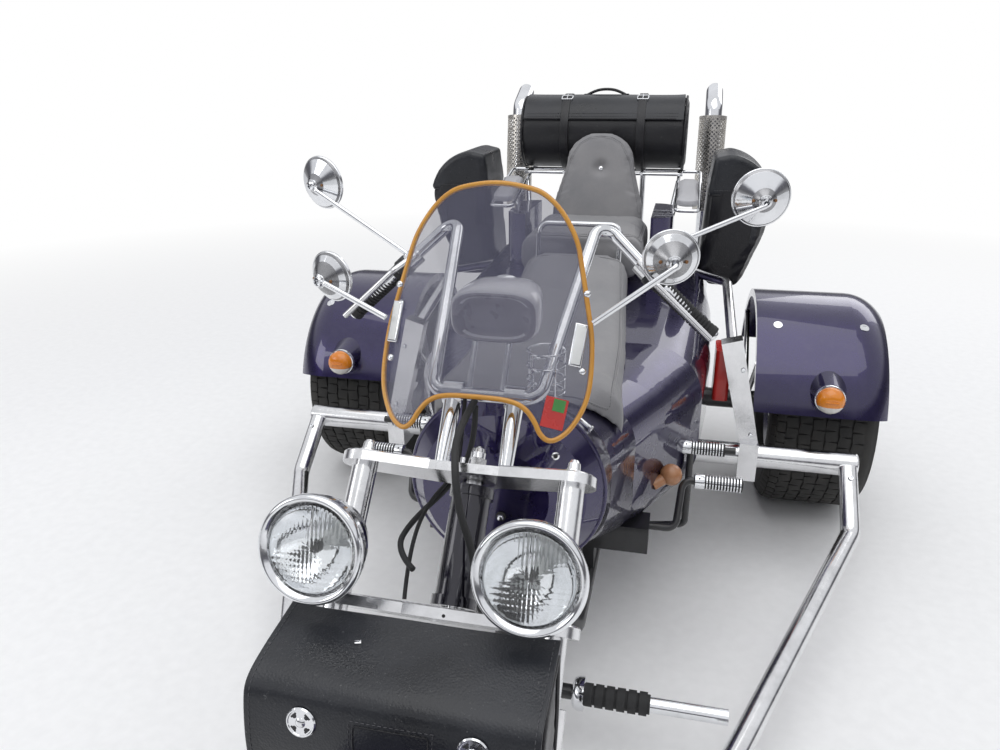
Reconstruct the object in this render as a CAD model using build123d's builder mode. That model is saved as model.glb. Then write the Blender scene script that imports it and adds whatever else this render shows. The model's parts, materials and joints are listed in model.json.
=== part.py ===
from build123d import *
from math import sin, cos, radians, sqrt
import os

os.makedirs("parts", exist_ok=True)

# Frame: x to the rider's left, y to the rear, z up, ground at z = 0, all in millimetres.
clear = 6.0
track_half = 760.0
rear_tyre_r = 325.0
rear_tyre_w = 304.0
rear_rim_r = 192.0
rear_axle_y = 759.0
rear_axle_z = rear_tyre_r
front_tyre_r = 280.0
front_tyre_w = 126.0
front_rim_r = 192.0
front_axle_y = -1306.0
front_axle_z = front_tyre_r
fender_gap = 16.0
fender_skin = 4.0
fender_edge = 45.0
front_fender_r = front_tyre_r + fender_gap
half_length = sqrt((front_fender_r + fender_skin) ** 2 - fender_edge**2) - front_axle_y

# Steering head: z of the head plane runs up the steering axis, its y points back and down.
rake = 43.0
head_y = -705.0
head_z = 746.0
head = Plane(origin=(0, head_y, head_z), x_dir=(1, 0, 0), z_dir=(0, sin(radians(rake)), cos(radians(rake))))
fork_half = 170.0
fork_offset = 62.0
fork_tube_r = 20.5
fork_leg_r = 30.0
clamp_t = 18.0
clamp_level = -5.0
clamp_top = clamp_level + clamp_t / 2
clamp_gap = 222.0
stem_r = 32.5
stem_bolt_r = 13.0


def to_head(y, z):
    dy = y - head_y
    dz = z - head_z
    s = sin(radians(rake))
    c = cos(radians(rake))
    return (dy * c - dz * s, dy * s + dz * c)


axle_local_y, axle_local_z = to_head(front_axle_y, front_axle_z)
stub_half = track_half - rear_tyre_w / 2 + 28 - clear

# Side structure.
crossbar_y = 330.0
crossbar_z = 327.0
crossbar_half = 834.0
crossbar_r = 34.0
guard_r = 25.0
guard_top = (crossbar_half - 29, crossbar_y - 30, crossbar_z)
guard_bend = (crossbar_half - 30, 146.0, 209.0)
guard_low = (510.0, -528.0, 127.0)
guard_tip = (478.0, -600.0, 118.0)
peg_bar_y = -503.0
peg_bar_z = 133.0
peg_bar_r = 16.0
rail_x = 130.0
rail_z = 190.0
rail_r = 25.0


def tube(points, r, bend, bore=0.0):
    with BuildPart() as run:
        with BuildLine() as path:
            if len(points) > 2:
                FilletPolyline(*points, radius=bend)
            else:
                Line(*points)
        with BuildSketch(Plane(path.line @ 0, z_dir=path.line % 0)):
            Circle(r)
            if bore > 0:
                Circle(bore, mode=Mode.SUBTRACT)
        sweep()
    return run.part


def both_sides(points):
    return [[(x, y, z) for x, y, z in points], [(-x, y, z) for x, y, z in points]]


def ring(plane, r_out, r_in, length):
    with BuildPart() as body:
        with BuildSketch(plane):
            Circle(r_out)
            if r_in > 0:
                Circle(r_in, mode=Mode.SUBTRACT)
        extrude(amount=length / 2, both=True)
    return body.part


def axle_plane(x, y, z):
    return Plane(origin=(x, y, z), x_dir=(0, 1, 0), z_dir=(1, 0, 0))


def turned(plane, profile):
    with BuildPart() as body:
        with BuildSketch(Plane(origin=plane.origin, x_dir=plane.x_dir, z_dir=-plane.y_dir)):
            with BuildLine():
                Polyline(*profile, close=True)
            make_face()
        revolve(axis=Axis(plane.origin, plane.z_dir))
    return body.part


spokes = 5


def spoked_rim(rim_r, half_width, disc_x, disc_t, hub_r, hub_half, bore_r):
    window_out = rim_r - 34
    window_in = hub_r + 16
    with BuildSketch(Plane.YZ.offset(disc_x)) as disc:
        Circle(rim_r - 15)
        with PolarLocations((window_out + window_in) / 2, spokes):
            Trapezoid(0.95 * window_out, window_out - window_in, 62, rotation=90, mode=Mode.SUBTRACT)
    with BuildPart() as rim:
        with BuildSketch(Plane.XY):
            with BuildLine():
                Polyline(
                    (-half_width, rim_r - 10),
                    (-half_width, rim_r - 0.5),
                    (half_width, rim_r - 0.5),
                    (half_width, rim_r - 10),
                    (half_width - 12, rim_r - 24),
                    (12 - half_width, rim_r - 24),
                    close=True,
                )
            make_face()
        revolve(axis=Axis.X)
        extrude(disc.sketch, amount=-disc_t)
        with BuildSketch(Plane.YZ.offset(-hub_half)):
            Circle(hub_r)
        extrude(amount=2 * hub_half)
        with BuildSketch(Plane.YZ.offset(-hub_half)):
            Circle(bore_r)
        extrude(amount=2 * hub_half, mode=Mode.SUBTRACT)
    return rim.part


# Rear wheels: a wide flat tyre on a deep rim, one body a side.
tyre_shoulder = 40.0
rear_rim_half = rear_tyre_w / 2 - 28
for side, tyre_name, rim_name in ((1, "left_tyre", "left_rim"), (-1, "right_tyre", "right_rim")):
    with BuildPart() as tyre:
        with BuildSketch(Plane.XY):
            with Locations((0, (rear_tyre_r + rear_rim_r) / 2)):
                RectangleRounded(rear_tyre_w, rear_tyre_r - rear_rim_r, tyre_shoulder)
        revolve(axis=Axis.X)
    tyre_part = Pos(side * track_half, rear_axle_y, rear_axle_z) * tyre.part
    tyre_part.label = tyre_name
    export_step(tyre_part, "parts/" + tyre_name + ".step")
    rim_part = spoked_rim(rear_rim_r, rear_rim_half, rear_rim_half - 40, 30, 62, rear_rim_half, 20)
    if side < 0:
        rim_part = mirror(rim_part, about=Plane.YZ)
    rim_part = Pos(side * track_half, rear_axle_y, rear_axle_z) * rim_part
    rim_part.label = rim_name
    export_step(rim_part, "parts/" + rim_name + ".step")

# Front wheel.
with BuildPart() as front_tyre:
    with BuildSketch(Plane.XY):
        with Locations((0, (front_tyre_r + front_rim_r) / 2)):
            RectangleRounded(front_tyre_w, front_tyre_r - front_rim_r, 40)
    revolve(axis=Axis.X)
front_tyre_part = Pos(0, front_axle_y, front_axle_z) * front_tyre.part
front_tyre_part.label = "front_tyre"
export_step(front_tyre_part, "parts/front_tyre.step")

front_rim_half = front_tyre_w / 2 - 15
front_rim_part = Pos(0, front_axle_y, front_axle_z) * spoked_rim(front_rim_r, front_rim_half, 12, 24, 45, 60, 13)
front_rim_part.label = "front_rim"
export_step(front_rim_part, "parts/front_rim.step")

# Fork: two polished clamps with round eyes, a cut-back web and pinch slots, on one steering stem.
eye_r = 38.0
web_front = 84.0
web_back = 30.0
boss_r = 52.0
pocket_half = 58.0
pocket_depth = 3.0
slot_w = 3.0
bolt_r = 5.0
clamp_chamfer = 2.5
eye_places = ((-fork_half, -fork_offset), (fork_half, -fork_offset))


def clamp_plate(level, thickness):
    low = head.offset(level - clamp_t / 2)
    with BuildPart() as plate:
        with BuildSketch(low):
            with Locations(*eye_places):
                Circle(eye_r)
            with Locations((0, -boss_r / 2)):
                Circle(boss_r)
            with BuildLine():
                Polyline(
                    (-fork_half, -fork_offset - eye_r),
                    (-fork_half / 3, -web_front),
                    (fork_half / 3, -web_front),
                    (fork_half, -fork_offset - eye_r),
                    (fork_half, -fork_offset + eye_r),
                    (boss_r, web_back - boss_r / 2),
                    (-boss_r, web_back - boss_r / 2),
                    (-fork_half, -fork_offset + eye_r),
                    close=True,
                )
            make_face()
        extrude(amount=thickness)
        chamfer(plate.faces().sort_by(Axis(head.origin, head.z_dir))[-1].outer_wire().edges(), clamp_chamfer)
        with BuildSketch(low):
            with Locations(*eye_places):
                Circle(fork_tube_r)
            with Locations((-fork_half, -fork_offset + eye_r), (fork_half, -fork_offset + eye_r)):
                Rectangle(slot_w, 2 * (eye_r - fork_tube_r) + 2)
        extrude(amount=thickness, mode=Mode.SUBTRACT)
        for s in (-1, 1):
            lug = Plane(
                origin=head.from_local_coords((s * fork_half, eye_r - fork_offset - 12, level)),
                x_dir=head.y_dir,
                z_dir=head.x_dir,
            )
            with BuildSketch(lug):
                Circle(bolt_r)
            extrude(amount=eye_r * 0.6, both=True)
    return plate.part


nut_profile = [(0, 0), (19, 0), (19, 8), (13, 8), (13, 40), (11, 47), (6, 51), (0, 52)]
post_r = 4.5
with BuildPart() as fork_clamps:
    add(clamp_plate(clamp_level, clamp_t))
    with BuildSketch(head.offset(clamp_top - pocket_depth)):
        with Locations((0, -web_front)):
            Rectangle(2 * pocket_half, 2 * web_front)
    extrude(amount=2 * pocket_depth, mode=Mode.SUBTRACT)
    add(turned(head.offset(clamp_top - pocket_depth), nut_profile))
    with BuildSketch(head.offset(clamp_top - pocket_depth + 14)):
        RegularPolygon(15.5, 6)
    extrude(amount=16)
    with BuildSketch(head.offset(clamp_top - pocket_depth)):
        with Locations((-25, 0)):
            Circle(post_r)
    extrude(amount=30)
    add(clamp_plate(clamp_level - clamp_gap, clamp_t))
    with BuildSketch(head.offset(clamp_level - clamp_gap)):
        Circle(stem_bolt_r)
    extrude(amount=clamp_gap)
fork_clamps.part.label = "fork_clamps"
export_step(fork_clamps.part, "parts/fork_clamps.step")

tube_top = clamp_top + 2
tube_low = -420.0
leg_top = -330.0
leg_low = axle_local_z - 34
with BuildPart() as fork_tubes:
    with BuildSketch(head.offset(tube_low)):
        with Locations((-fork_half, -fork_offset), (fork_half, -fork_offset)):
            Circle(fork_tube_r)
    extrude(amount=tube_top - tube_low)
    for place in eye_places:
        cap = Plane(origin=head.from_local_coords((*place, tube_top)), x_dir=head.x_dir, z_dir=head.z_dir)
        add(turned(cap, [(0, 0), (17, 0), (15, 5), (11, 7), (10, 17), (7, 22), (0, 24)]))
fork_tubes.part.label = "fork_tubes"
export_step(fork_tubes.part, "parts/fork_tubes.step")

with BuildPart() as fork_legs:
    with BuildSketch(head.offset(leg_low)):
        with Locations((-fork_half, -fork_offset), (fork_half, -fork_offset)):
            Circle(fork_leg_r)
    extrude(amount=leg_top - leg_low)
    with BuildSketch(head.offset(tube_low)):
        with Locations((-fork_half, -fork_offset), (fork_half, -fork_offset)):
            Circle(fork_tube_r)
    extrude(amount=leg_top - tube_low, mode=Mode.SUBTRACT)
    with BuildSketch(head.offset(axle_local_z - 24)):
        with Locations((-fork_half, (axle_local_y - fork_offset) / 2), (fork_half, (axle_local_y - fork_offset) / 2)):
            Rectangle(32, fork_offset - axle_local_y - 20)
    extrude(amount=48)
    add(ring(axle_plane(0, front_axle_y, front_axle_z), 26, 0, 2 * fork_half + 40))
    with BuildSketch(axle_plane(0, front_axle_y, front_axle_z)):
        Circle(27)
    extrude(amount=fork_half - 18, both=True, mode=Mode.SUBTRACT)
    add(ring(axle_plane(0, front_axle_y, front_axle_z), 9, 0, 2 * fork_half))
fork_legs.part.label = "fork_legs"
export_step(fork_legs.part, "parts/fork_legs.step")

# Head tube of the frame, between the clamps, with a bearing cup at each end.
cup_r = 37.0
cup_h = 16.0
head_low = clamp_level - clamp_gap + clamp_t / 2 + clear
head_len = clamp_gap - clamp_t - 2 * clear
with BuildPart() as headstock:
    with BuildSketch(head.offset(head_low)):
        Circle(stem_r)
    extrude(amount=head_len)
    for level in (head_low, head_low + head_len - cup_h):
        with BuildSketch(head.offset(level)):
            Circle(cup_r)
        extrude(amount=cup_h)
    with BuildSketch(head.offset(head_low)):
        Circle(stem_bolt_r + clear)
    extrude(amount=head_len, mode=Mode.SUBTRACT)
headstock.part.label = "headstock"
export_step(headstock.part, "parts/headstock.step")

plate_pitch_x = 140.0
plate_pitch_z = 60.0
plate_hole_r = 6.5

# Main frame: backbone from the head tube down to two lower rails, cross tube and axle tube.
neck = head.from_local_coords((0, 0, -120))
neck_joint = (0, -470, 460)
outrigger_y = -113.0
cross_tubes_y = (crossbar_y, 640.0)
jack_pad_y = 640.0
tow_y = 1320.0
tow_z = 235.0
with BuildPart() as main_frame:
    add(tube([(0, neck.Y, neck.Z), (0, -420, 360), (0, -260, rail_z + 30)], 32, 60))
    for s in (-1, 1):
        add(tube([neck_joint, (s * rail_x, -380, rail_z), (s * rail_x, tow_y + 2, rail_z)], rail_r, 60))
        add(tube([(s * rail_x, rear_axle_y, rail_z), (s * rail_x, rear_axle_y, rear_axle_z)], 24, 0))
        with Locations((s * 200, outrigger_y, 303)):
            Box(158, 80, 70)
        with Locations((s * (rail_x + 5), outrigger_y, 255)):
            Box(28, 80, 150)
    add(tube([neck_joint, (0, peg_bar_y, peg_bar_z)], 22, 0))
    add(tube([(-470, peg_bar_y, peg_bar_z), (470, peg_bar_y, peg_bar_z)], peg_bar_r, 0))
    for y in cross_tubes_y:
        add(tube([(-rail_x, y, rail_z), (rail_x, y, rail_z)], rail_r, 0))
    add(tube([(-stub_half, rear_axle_y, rear_axle_z), (stub_half, rear_axle_y, rear_axle_z)], 32, 0))
    with Locations((0, jack_pad_y, rail_z - rail_r - 2)):
        Box(180, 120, 16)
    with Locations((0, tow_y + 5, tow_z - 13)):
        Box(220, 10, 130)
    with BuildSketch(Plane.XZ.offset(10 - tow_y)):
        with Locations((0, tow_z)):
            with GridLocations(plate_pitch_x, plate_pitch_z, 2, 2):
                Circle(plate_hole_r)
    extrude(amount=-30, mode=Mode.SUBTRACT)
    with BuildSketch(head.offset(clamp_level - clamp_gap)):
        Circle(stem_r + 60)
    extrude(amount=clamp_gap, mode=Mode.SUBTRACT)
main_frame.part.label = "main_frame"
export_step(main_frame.part, "parts/main_frame.step")

# Body tub: a round domed nose behind the head tube that widens into the flanks and seat box.
# Columns: y, half width, low z, high z, corner radius.
tub_sections = (
    (-522.0, 95.0, 510.0, 698.0, 90.0),
    (-503.0, 165.0, 440.0, 768.0, 160.0),
    (-468.0, 198.0, 406.0, 802.0, 194.0),
    (-360.0, 200.0, 378.0, 738.0, 150.0),
    (-200.0, 238.0, 330.0, 690.0, 110.0),
    (-60.0, 298.0, 298.0, 690.0, 120.0),
    (160.0, 388.0, 262.0, 705.0, 150.0),
    (400.0, 411.0, 262.0, 735.0, 160.0),
    (700.0, 413.0, 262.0, 770.0, 160.0),
    (1000.0, 388.0, 265.0, 800.0, 140.0),
)
nose_rim_y = -468.0
nose_rim_z = 604.0
nose_rim_r = 197.0
seat_half = 200.0
seat_floor = 785.0
with BuildPart() as body_tub:
    for y, half, low, high, r in tub_sections:
        with BuildSketch(Plane.XZ.offset(-y)):
            with Locations((0, (low + high) / 2)):
                RectangleRounded(2 * half, high - low, min(r, (high - low) / 2 - 1))
    loft(ruled=True)
    with Locations(Location((0, nose_rim_y, nose_rim_z), (90, 0, 0))):
        Torus(nose_rim_r, 5)
    with BuildSketch(Plane.XY.offset(760)):
        with Locations((0, 850)):
            RectangleRounded(540, 300, 60)
    extrude(amount=180)
    with Locations((0, 850, seat_floor + 100)):
        Box(2 * seat_half + 4, 320, 200, mode=Mode.SUBTRACT)
    add(main_frame.part, mode=Mode.SUBTRACT)
    with BuildSketch(Plane.YZ):
        with Locations((crossbar_y, crossbar_z)):
            Circle(crossbar_r)
        with Locations((rear_axle_y, rear_axle_z)):
            Circle(32)
    extrude(amount=500, both=True, mode=Mode.SUBTRACT)
body_tub.part.label = "body_tub"
export_step(body_tub.part, "parts/body_tub.step")

# Seats.
saddle_sections = (
    (-348.0, 110.0, 640.0, 728.0, 40.0),
    (-290.0, 215.0, 600.0, 748.0, 60.0),
    (0.0, 205.0, 620.0, 765.0, 60.0),
    (300.0, 180.0, 660.0, 800.0, 60.0),
    (470.0, 160.0, 700.0, 880.0, 60.0),
)
with BuildPart() as driver_saddle:
    for y, half, low, high, r in saddle_sections:
        with BuildSketch(Plane.XZ.offset(-y)):
            with Locations((0, (low + high) / 2)):
                RectangleRounded(2 * half, high - low, r)
    loft(ruled=True)
    add(body_tub.part, mode=Mode.SUBTRACT)
driver_saddle.part.label = "driver_saddle"
export_step(driver_saddle.part, "parts/driver_saddle.step")

back_tilt = 17.0
back = Plane(
    origin=(0, 930, 800),
    x_dir=(1, 0, 0),
    z_dir=(0, -cos(radians(back_tilt)), sin(radians(back_tilt))),
)
with BuildPart() as passenger_seat:
    with BuildSketch(Plane.XZ.offset(-548)):
        with Locations((0, 840)):
            RectangleRounded(2 * seat_half, 130, 50)
    extrude(amount=-372)
    add(body_tub.part, mode=Mode.SUBTRACT)
    add(driver_saddle.part, mode=Mode.SUBTRACT)
passenger_seat.part.label = "passenger_seat"
export_step(passenger_seat.part, "parts/passenger_seat.step")

with BuildPart() as backrest:
    with BuildSketch(back):
        with BuildLine():
            Polyline((0, -12), (176, -12), (172, 140), (131, 292))
            ThreePointArc((131, 292), (92, 375), (0, 405))
            mirror(about=Plane.YZ)
        make_face()
    extrude(amount=-60)
    add(body_tub.part, mode=Mode.SUBTRACT)
    add(passenger_seat.part, mode=Mode.SUBTRACT)
backrest.part.label = "backrest"
export_step(backrest.part, "parts/backrest.step")

grab_half = 122.0
grab_top = 946.0
arm_x = 311.0
arm_half = 38.0
arm_front = (818.0, 946.0)
arm_back = (1189.0, 1027.0)
with BuildPart() as grab_rail:
    add(
        tube(
            [(-grab_half, 487, 730), (-grab_half, 528, grab_top), (grab_half, 528, grab_top), (grab_half, 487, 730)], 8, 30
        )
    )
    for s in (-1, 1):
        loop_in = s * (arm_x - arm_half)
        loop_out = s * (arm_x + arm_half)
        add(
            tube(
                [
                    (loop_in, arm_back[0], arm_back[1]),
                    (loop_in, *arm_front),
                    (loop_out, *arm_front),
                    (loop_out, *arm_back),
                    (loop_in + s * 1, arm_back[0] + 1, arm_back[1]),
                ],
                6,
                18,
            )
        )
        add(tube([(loop_in, 900, 964), (s * 235, 900, 780)], 8, 0))
        add(tube([(loop_in, 1090, 1005), (s * 235, 985, 780)], 8, 0))
    add(body_tub.part, mode=Mode.SUBTRACT)
    add(driver_saddle.part, mode=Mode.SUBTRACT)
    add(passenger_seat.part, mode=Mode.SUBTRACT)
    add(backrest.part, mode=Mode.SUBTRACT)
grab_rail.part.label = "grab_rail"
export_step(grab_rail.part, "parts/grab_rail.step")

arm_rise = (arm_back[1] - arm_front[1]) / (arm_back[0] - arm_front[0])
with BuildPart() as armrest_pads:
    for s in (-1, 1):
        pad = Plane(origin=(s * arm_x, 936, arm_front[1] + 118 * arm_rise + 4), x_dir=(1, 0, 0), z_dir=(0, -arm_rise, 1))
        with BuildSketch(pad):
            RectangleRounded(2 * arm_half, 216, 28)
        extrude(amount=26)
    add(grab_rail.part, mode=Mode.SUBTRACT)
armrest_pads.part.label = "armrest_pads"
export_step(armrest_pads.part, "parts/armrest_pads.step")

# Crossbar, leaning side brackets, side stays and V-shaped guard bars.
with BuildPart() as crossbar:
    add(tube([(-crossbar_half, crossbar_y, crossbar_z), (crossbar_half, crossbar_y, crossbar_z)], crossbar_r, 0))
    fillet(crossbar.edges(), 7)
crossbar.part.label = "crossbar"
export_step(crossbar.part, "parts/crossbar.step")

block_in = 508.0
fender_in = 545.0
fender_r = 377.0
fender_arm_x = fender_in + 7
fender_arm_tilt = 50.0
block_out = 560.0
with BuildPart() as side_brackets:
    for s in (-1, 1):
        with BuildSketch(Plane.XZ.offset(-crossbar_y + 24)):
            with BuildLine():
                Polyline(
                    (s * block_in, 372),
                    (s * block_out, 372),
                    (s * 488, 684),
                    (s * 432, 668),
                    close=True,
                )
            make_face()
        extrude(amount=-48)
        with Locations((s * (block_in + block_out) / 2, crossbar_y, 322)):
            Box(block_out - block_in, 2 * crossbar_r + 20, 116)
    add(crossbar.part, mode=Mode.SUBTRACT)
    add(body_tub.part, mode=Mode.SUBTRACT)
side_brackets.part.label = "side_brackets"
export_step(side_brackets.part, "parts/side_brackets.step")

with BuildPart() as side_stays:
    for s in (-1, 1):
        add(tube([(s * 465, crossbar_y + 5, 650), (s * 452, 700, 745), (s * 330, 900, 730)], 15, 60))
        for turn in (-fender_arm_tilt, fender_arm_tilt):
            arm_y = rear_axle_y + (fender_r - 12) * sin(radians(turn))
            arm_z = rear_axle_z + (fender_r - 12) * cos(radians(turn))
            add(tube([(s * fender_arm_x, rear_axle_y, rear_axle_z), (s * fender_arm_x, arm_y, arm_z)], 9, 0))
    add(side_brackets.part, mode=Mode.SUBTRACT)
    add(body_tub.part, mode=Mode.SUBTRACT)
    add(main_frame.part, mode=Mode.SUBTRACT)
side_stays.part.label = "side_stays"
export_step(side_stays.part, "parts/side_stays.step")

with BuildPart() as guard_bars:
    for run in both_sides([guard_top, guard_bend, guard_low, guard_tip]):
        add(tube(run, guard_r, 60))
        with Locations(run[-1]):
            Sphere(guard_r)
    add(crossbar.part, mode=Mode.SUBTRACT)
    add(main_frame.part, mode=Mode.SUBTRACT)
guard_bars.part.label = "guard_bars"
export_step(guard_bars.part, "parts/guard_bars.step")

# Highway pegs: a chrome cup, then rubber with ring grooves.
peg_start = 166.0
cup_len = 10.0
peg_step = 23.0
peg_profile = [(peg_bar_r, 0), (34, 0), (34, cup_len)]
for i in range(6):
    start = cup_len + i * peg_step
    peg_profile += [(24, start), (24, start + peg_step - 6), (20, start + peg_step - 6), (20, start + peg_step)]
peg_profile += [(peg_bar_r, cup_len + 6 * peg_step)]
with BuildPart() as highway_pegs:
    for s in (-1, 1):
        add(turned(Plane(origin=(s * peg_start, peg_bar_y, peg_bar_z), x_dir=(0, 1, 0), z_dir=(s, 0, 0)), peg_profile))
highway_pegs.part.label = "highway_pegs"
export_step(highway_pegs.part, "parts/highway_pegs.step")

with BuildPart() as footrests:
    for run in both_sides([(rail_x, 77, rail_z), (368, 77, 225), (368, 77, 457), (480, 77, 457)]):
        add(tube(run, 9, 20))
    for s in (-1, 1):
        plane = Plane(origin=(s * 345, 77, 457), x_dir=(0, 1, 0), z_dir=(s, 0, 0))
        with BuildSketch(plane):
            Circle(16)
        extrude(amount=108)
    add(main_frame.part, mode=Mode.SUBTRACT)
    add(body_tub.part, mode=Mode.SUBTRACT)
footrests.part.label = "footrests"
export_step(footrests.part, "parts/footrests.step")

with BuildPart() as pedals:
    for run in both_sides([(265, -113, 325), (342, -113, 325), (352, -48, 427), (495, -48, 427)]):
        add(tube(run, 9, 25))
    for s in (-1, 1):
        plane = Plane(origin=(s * 380, -48, 427), x_dir=(0, 1, 0), z_dir=(s, 0, 0))
        with BuildSketch(plane):
            Circle(16)
        extrude(amount=113)
    add(body_tub.part, mode=Mode.SUBTRACT)
    add(main_frame.part, mode=Mode.SUBTRACT)
pedals.part.label = "pedals"
export_step(pedals.part, "parts/pedals.step")

# Gear lever: a black arm out of a rubber boot, then a neck and a wooden ball.
lever_foot = (200, -125, 380)
lever_neck = (300, -77, 436)
with BuildPart() as gear_lever:
    add(tube([lever_foot, lever_neck], 8, 0))
    run = Line(lever_foot, lever_neck)
    add(turned(Plane(run @ 0, z_dir=run % 0), [(0, 0), (30, 0), (30, 22), (22, 30), (24, 38), (16, 46), (17, 54), (8, 62)]))
    add(tube([(280, -87, 425), (306, -74, 439)], 14, 0))
    with Locations((322, -65, 447)):
        Sphere(27)
    add(body_tub.part, mode=Mode.SUBTRACT)
gear_lever.part.label = "gear_lever"
export_step(gear_lever.part, "parts/gear_lever.step")

# Engine block, axle stubs, stacks and shields.
with BuildPart() as engine:
    with BuildSketch(Plane.XY.offset(235)):
        with Locations((0, 1155)):
            RectangleRounded(620, 300, 40)
    extrude(amount=380)
engine.part.label = "engine"
export_step(engine.part, "parts/engine.step")

stack_x = 383.0
stack_r = 32.0
shield_r = 52.0
shield_t = 2.0
stack_foot = (stack_x, 1455, 430)
stack_mid = (stack_x, 1455, 1000)
stack_top = (stack_x, 1488, 1200)
stack_bend = (stack_x, 1500, 1243)
with BuildPart() as exhaust_stacks:
    add(tube([(230, 1200, 400), stack_foot, stack_mid, stack_top, stack_bend, (stack_x, 1700, 1333)], stack_r, 40))
    mirror(about=Plane.YZ)
    with BuildSketch(Plane.XZ.offset(-half_length)):
        Rectangle(4 * stack_x, 2 * half_length)
    extrude(amount=-200, mode=Mode.SUBTRACT)
    add(engine.part, mode=Mode.SUBTRACT)
exhaust_stacks.part.label = "exhaust_stacks"
export_step(exhaust_stacks.part, "parts/exhaust_stacks.step")

with BuildPart() as heat_shields:
    add(tube([(stack_x, 1455, 850), stack_mid, (stack_x, 1488, 1204)], shield_r, 200, shield_r - shield_t))
    for level in (870, 970):
        with BuildSketch(Plane.XY.offset(level)):
            with Locations((stack_x, 1455)):
                Circle(shield_r - shield_t / 2)
                Circle(stack_r, mode=Mode.SUBTRACT)
        extrude(amount=6)
    mirror(about=Plane.YZ)
heat_shields.part.label = "heat_shields"
export_step(heat_shields.part, "parts/heat_shields.step")

# Luggage: rack, roll bag and saddlebags.
rack_z = 1026.0
roll_r = 128.0
roll_y = 1222.0
with BuildPart() as luggage_rack:
    for x in (-280, -140, 0, 140, 280):
        add(tube([(x, 1105, rack_z), (x, 1350, rack_z)], 6, 0))
    for y in (1111, 1225, 1344):
        add(tube([(-286, y, rack_z), (286, y, rack_z)], 6, 0))
    for s in (-1, 1):
        add(tube([(s * 140, 1225, rack_z), (s * 140, 1225, 600)], 10, 0))
    add(engine.part, mode=Mode.SUBTRACT)
    add(backrest.part, mode=Mode.SUBTRACT)
luggage_rack.part.label = "luggage_rack"
export_step(luggage_rack.part, "parts/luggage_rack.step")

with BuildPart() as roll_bag:
    with BuildSketch(Plane.YZ.offset(-305)):
        with Locations((roll_y, rack_z + 6 + roll_r)):
            Circle(roll_r)
    extrude(amount=594)
    add(luggage_rack.part, mode=Mode.SUBTRACT)
    add(backrest.part, mode=Mode.SUBTRACT)
roll_bag.part.label = "roll_bag"
export_step(roll_bag.part, "parts/roll_bag.step")

with BuildPart() as saddlebags:
    with BuildSketch(Plane.XZ.offset(-890)):
        with BuildLine():
            Polyline((392, 1104), (378, 1000), (362, 700), (380, 680), (485, 672), (500, 684), (562, 850), (584, 960))
            ThreePointArc((584, 960), (535, 1070), (440, 1115))
            Line((440, 1115), (392, 1104))
        make_face()
    extrude(amount=-260)
    add(side_stays.part, mode=Mode.SUBTRACT)
    add(body_tub.part, mode=Mode.SUBTRACT)
    mirror(about=Plane.YZ)
saddlebags.part.label = "saddlebags"
export_step(saddlebags.part, "parts/saddlebags.step")

# Rear fenders: a section turned about the axle, flat on top and rounded over the outer shoulder.
fender_out = 922.0
fender_t = 4.0
fender_turn = 826.0
fender_low_r = 332.0
fender_start = 17.0
lamp_level = 498.0
lamp_x = 748.0
lamp_foot = 62.0
indicator_r = 38.0


def fender_section(inset):
    outer = fender_out - inset
    top = fender_r - inset
    with BuildSketch(Plane.XY.rotated((fender_start, 0, 0))) as section:
        with BuildLine():
            Line((fender_in, top), (fender_turn, top))
            TangentArc((fender_turn, top), (outer, fender_low_r), tangent=(1, 0))
            Line((outer, fender_low_r), (fender_in, fender_low_r))
            Line((fender_in, fender_low_r), (fender_in, top))
        make_face()
    return section.sketch


axle_frame = Pos(0, rear_axle_y, rear_axle_z)
with BuildPart() as fender_shell:
    revolve(fender_section(0), axis=Axis.X, revolution_arc=180 - 2 * fender_start)
with BuildPart() as fender_room:
    revolve(fender_section(fender_t), axis=Axis.X, revolution_arc=180 - 2 * fender_start)
fender_shape = axle_frame * fender_shell.part
fender_hollow = axle_frame * fender_room.part
with BuildPart() as rear_fenders:
    add(fender_shape)
    with BuildSketch(Plane.XZ.offset(-(rear_axle_y - 0.75 * fender_r))):
        with Locations((lamp_x, lamp_level)):
            Circle(lamp_foot)
    with BuildSketch(Plane.XZ.offset(-(rear_axle_y - fender_r + 12))):
        with Locations((lamp_x, lamp_level)):
            Circle(indicator_r + 4)
    loft(ruled=True)
    add(fender_hollow, mode=Mode.SUBTRACT)
    with BuildSketch(axle_plane(fender_in, rear_axle_y, rear_axle_z)):
        Circle(fender_r - fender_t)
    extrude(amount=fender_turn - fender_in, mode=Mode.SUBTRACT)
    with BuildSketch(axle_plane(fender_in, rear_axle_y, rear_axle_z)):
        Circle(fender_r - 1)
        Circle(fender_r - 26, mode=Mode.SUBTRACT)
        with Locations((0, -fender_r)):
            Rectangle(2 * fender_r, 2 * (fender_r + fender_r * sin(radians(fender_start))), mode=Mode.SUBTRACT)
    extrude(amount=fender_t)
    mirror(about=Plane.YZ)
    add(side_stays.part, mode=Mode.SUBTRACT)
rear_fenders.part.label = "rear_fenders"
export_step(rear_fenders.part, "parts/rear_fenders.step")

with BuildPart() as signal_lamps:
    front = Plane(origin=(lamp_x, rear_axle_y - fender_r + 12, lamp_level), x_dir=(1, 0, 0), z_dir=(0, -1, 0))
    r = indicator_r
    add(turned(front, [(0, 0), (r, 0), (r, 20), (r - 4, 32), (r - 14, 42), (0, 46)]))
    with BuildSketch(Plane.XZ.offset(-(rear_axle_y + fender_r - 40))):
        with Locations((lamp_x, lamp_level)):
            RectangleRounded(110, 60, 20)
    extrude(amount=-60)
    mirror(about=Plane.YZ)
    add(rear_fenders.part, mode=Mode.SUBTRACT)
    add(mirror(fender_hollow, about=Plane.YZ), mode=Mode.SUBTRACT)
    add(fender_hollow, mode=Mode.SUBTRACT)
signal_lamps.part.label = "signal_lamps"
export_step(signal_lamps.part, "parts/signal_lamps.step")

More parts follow.
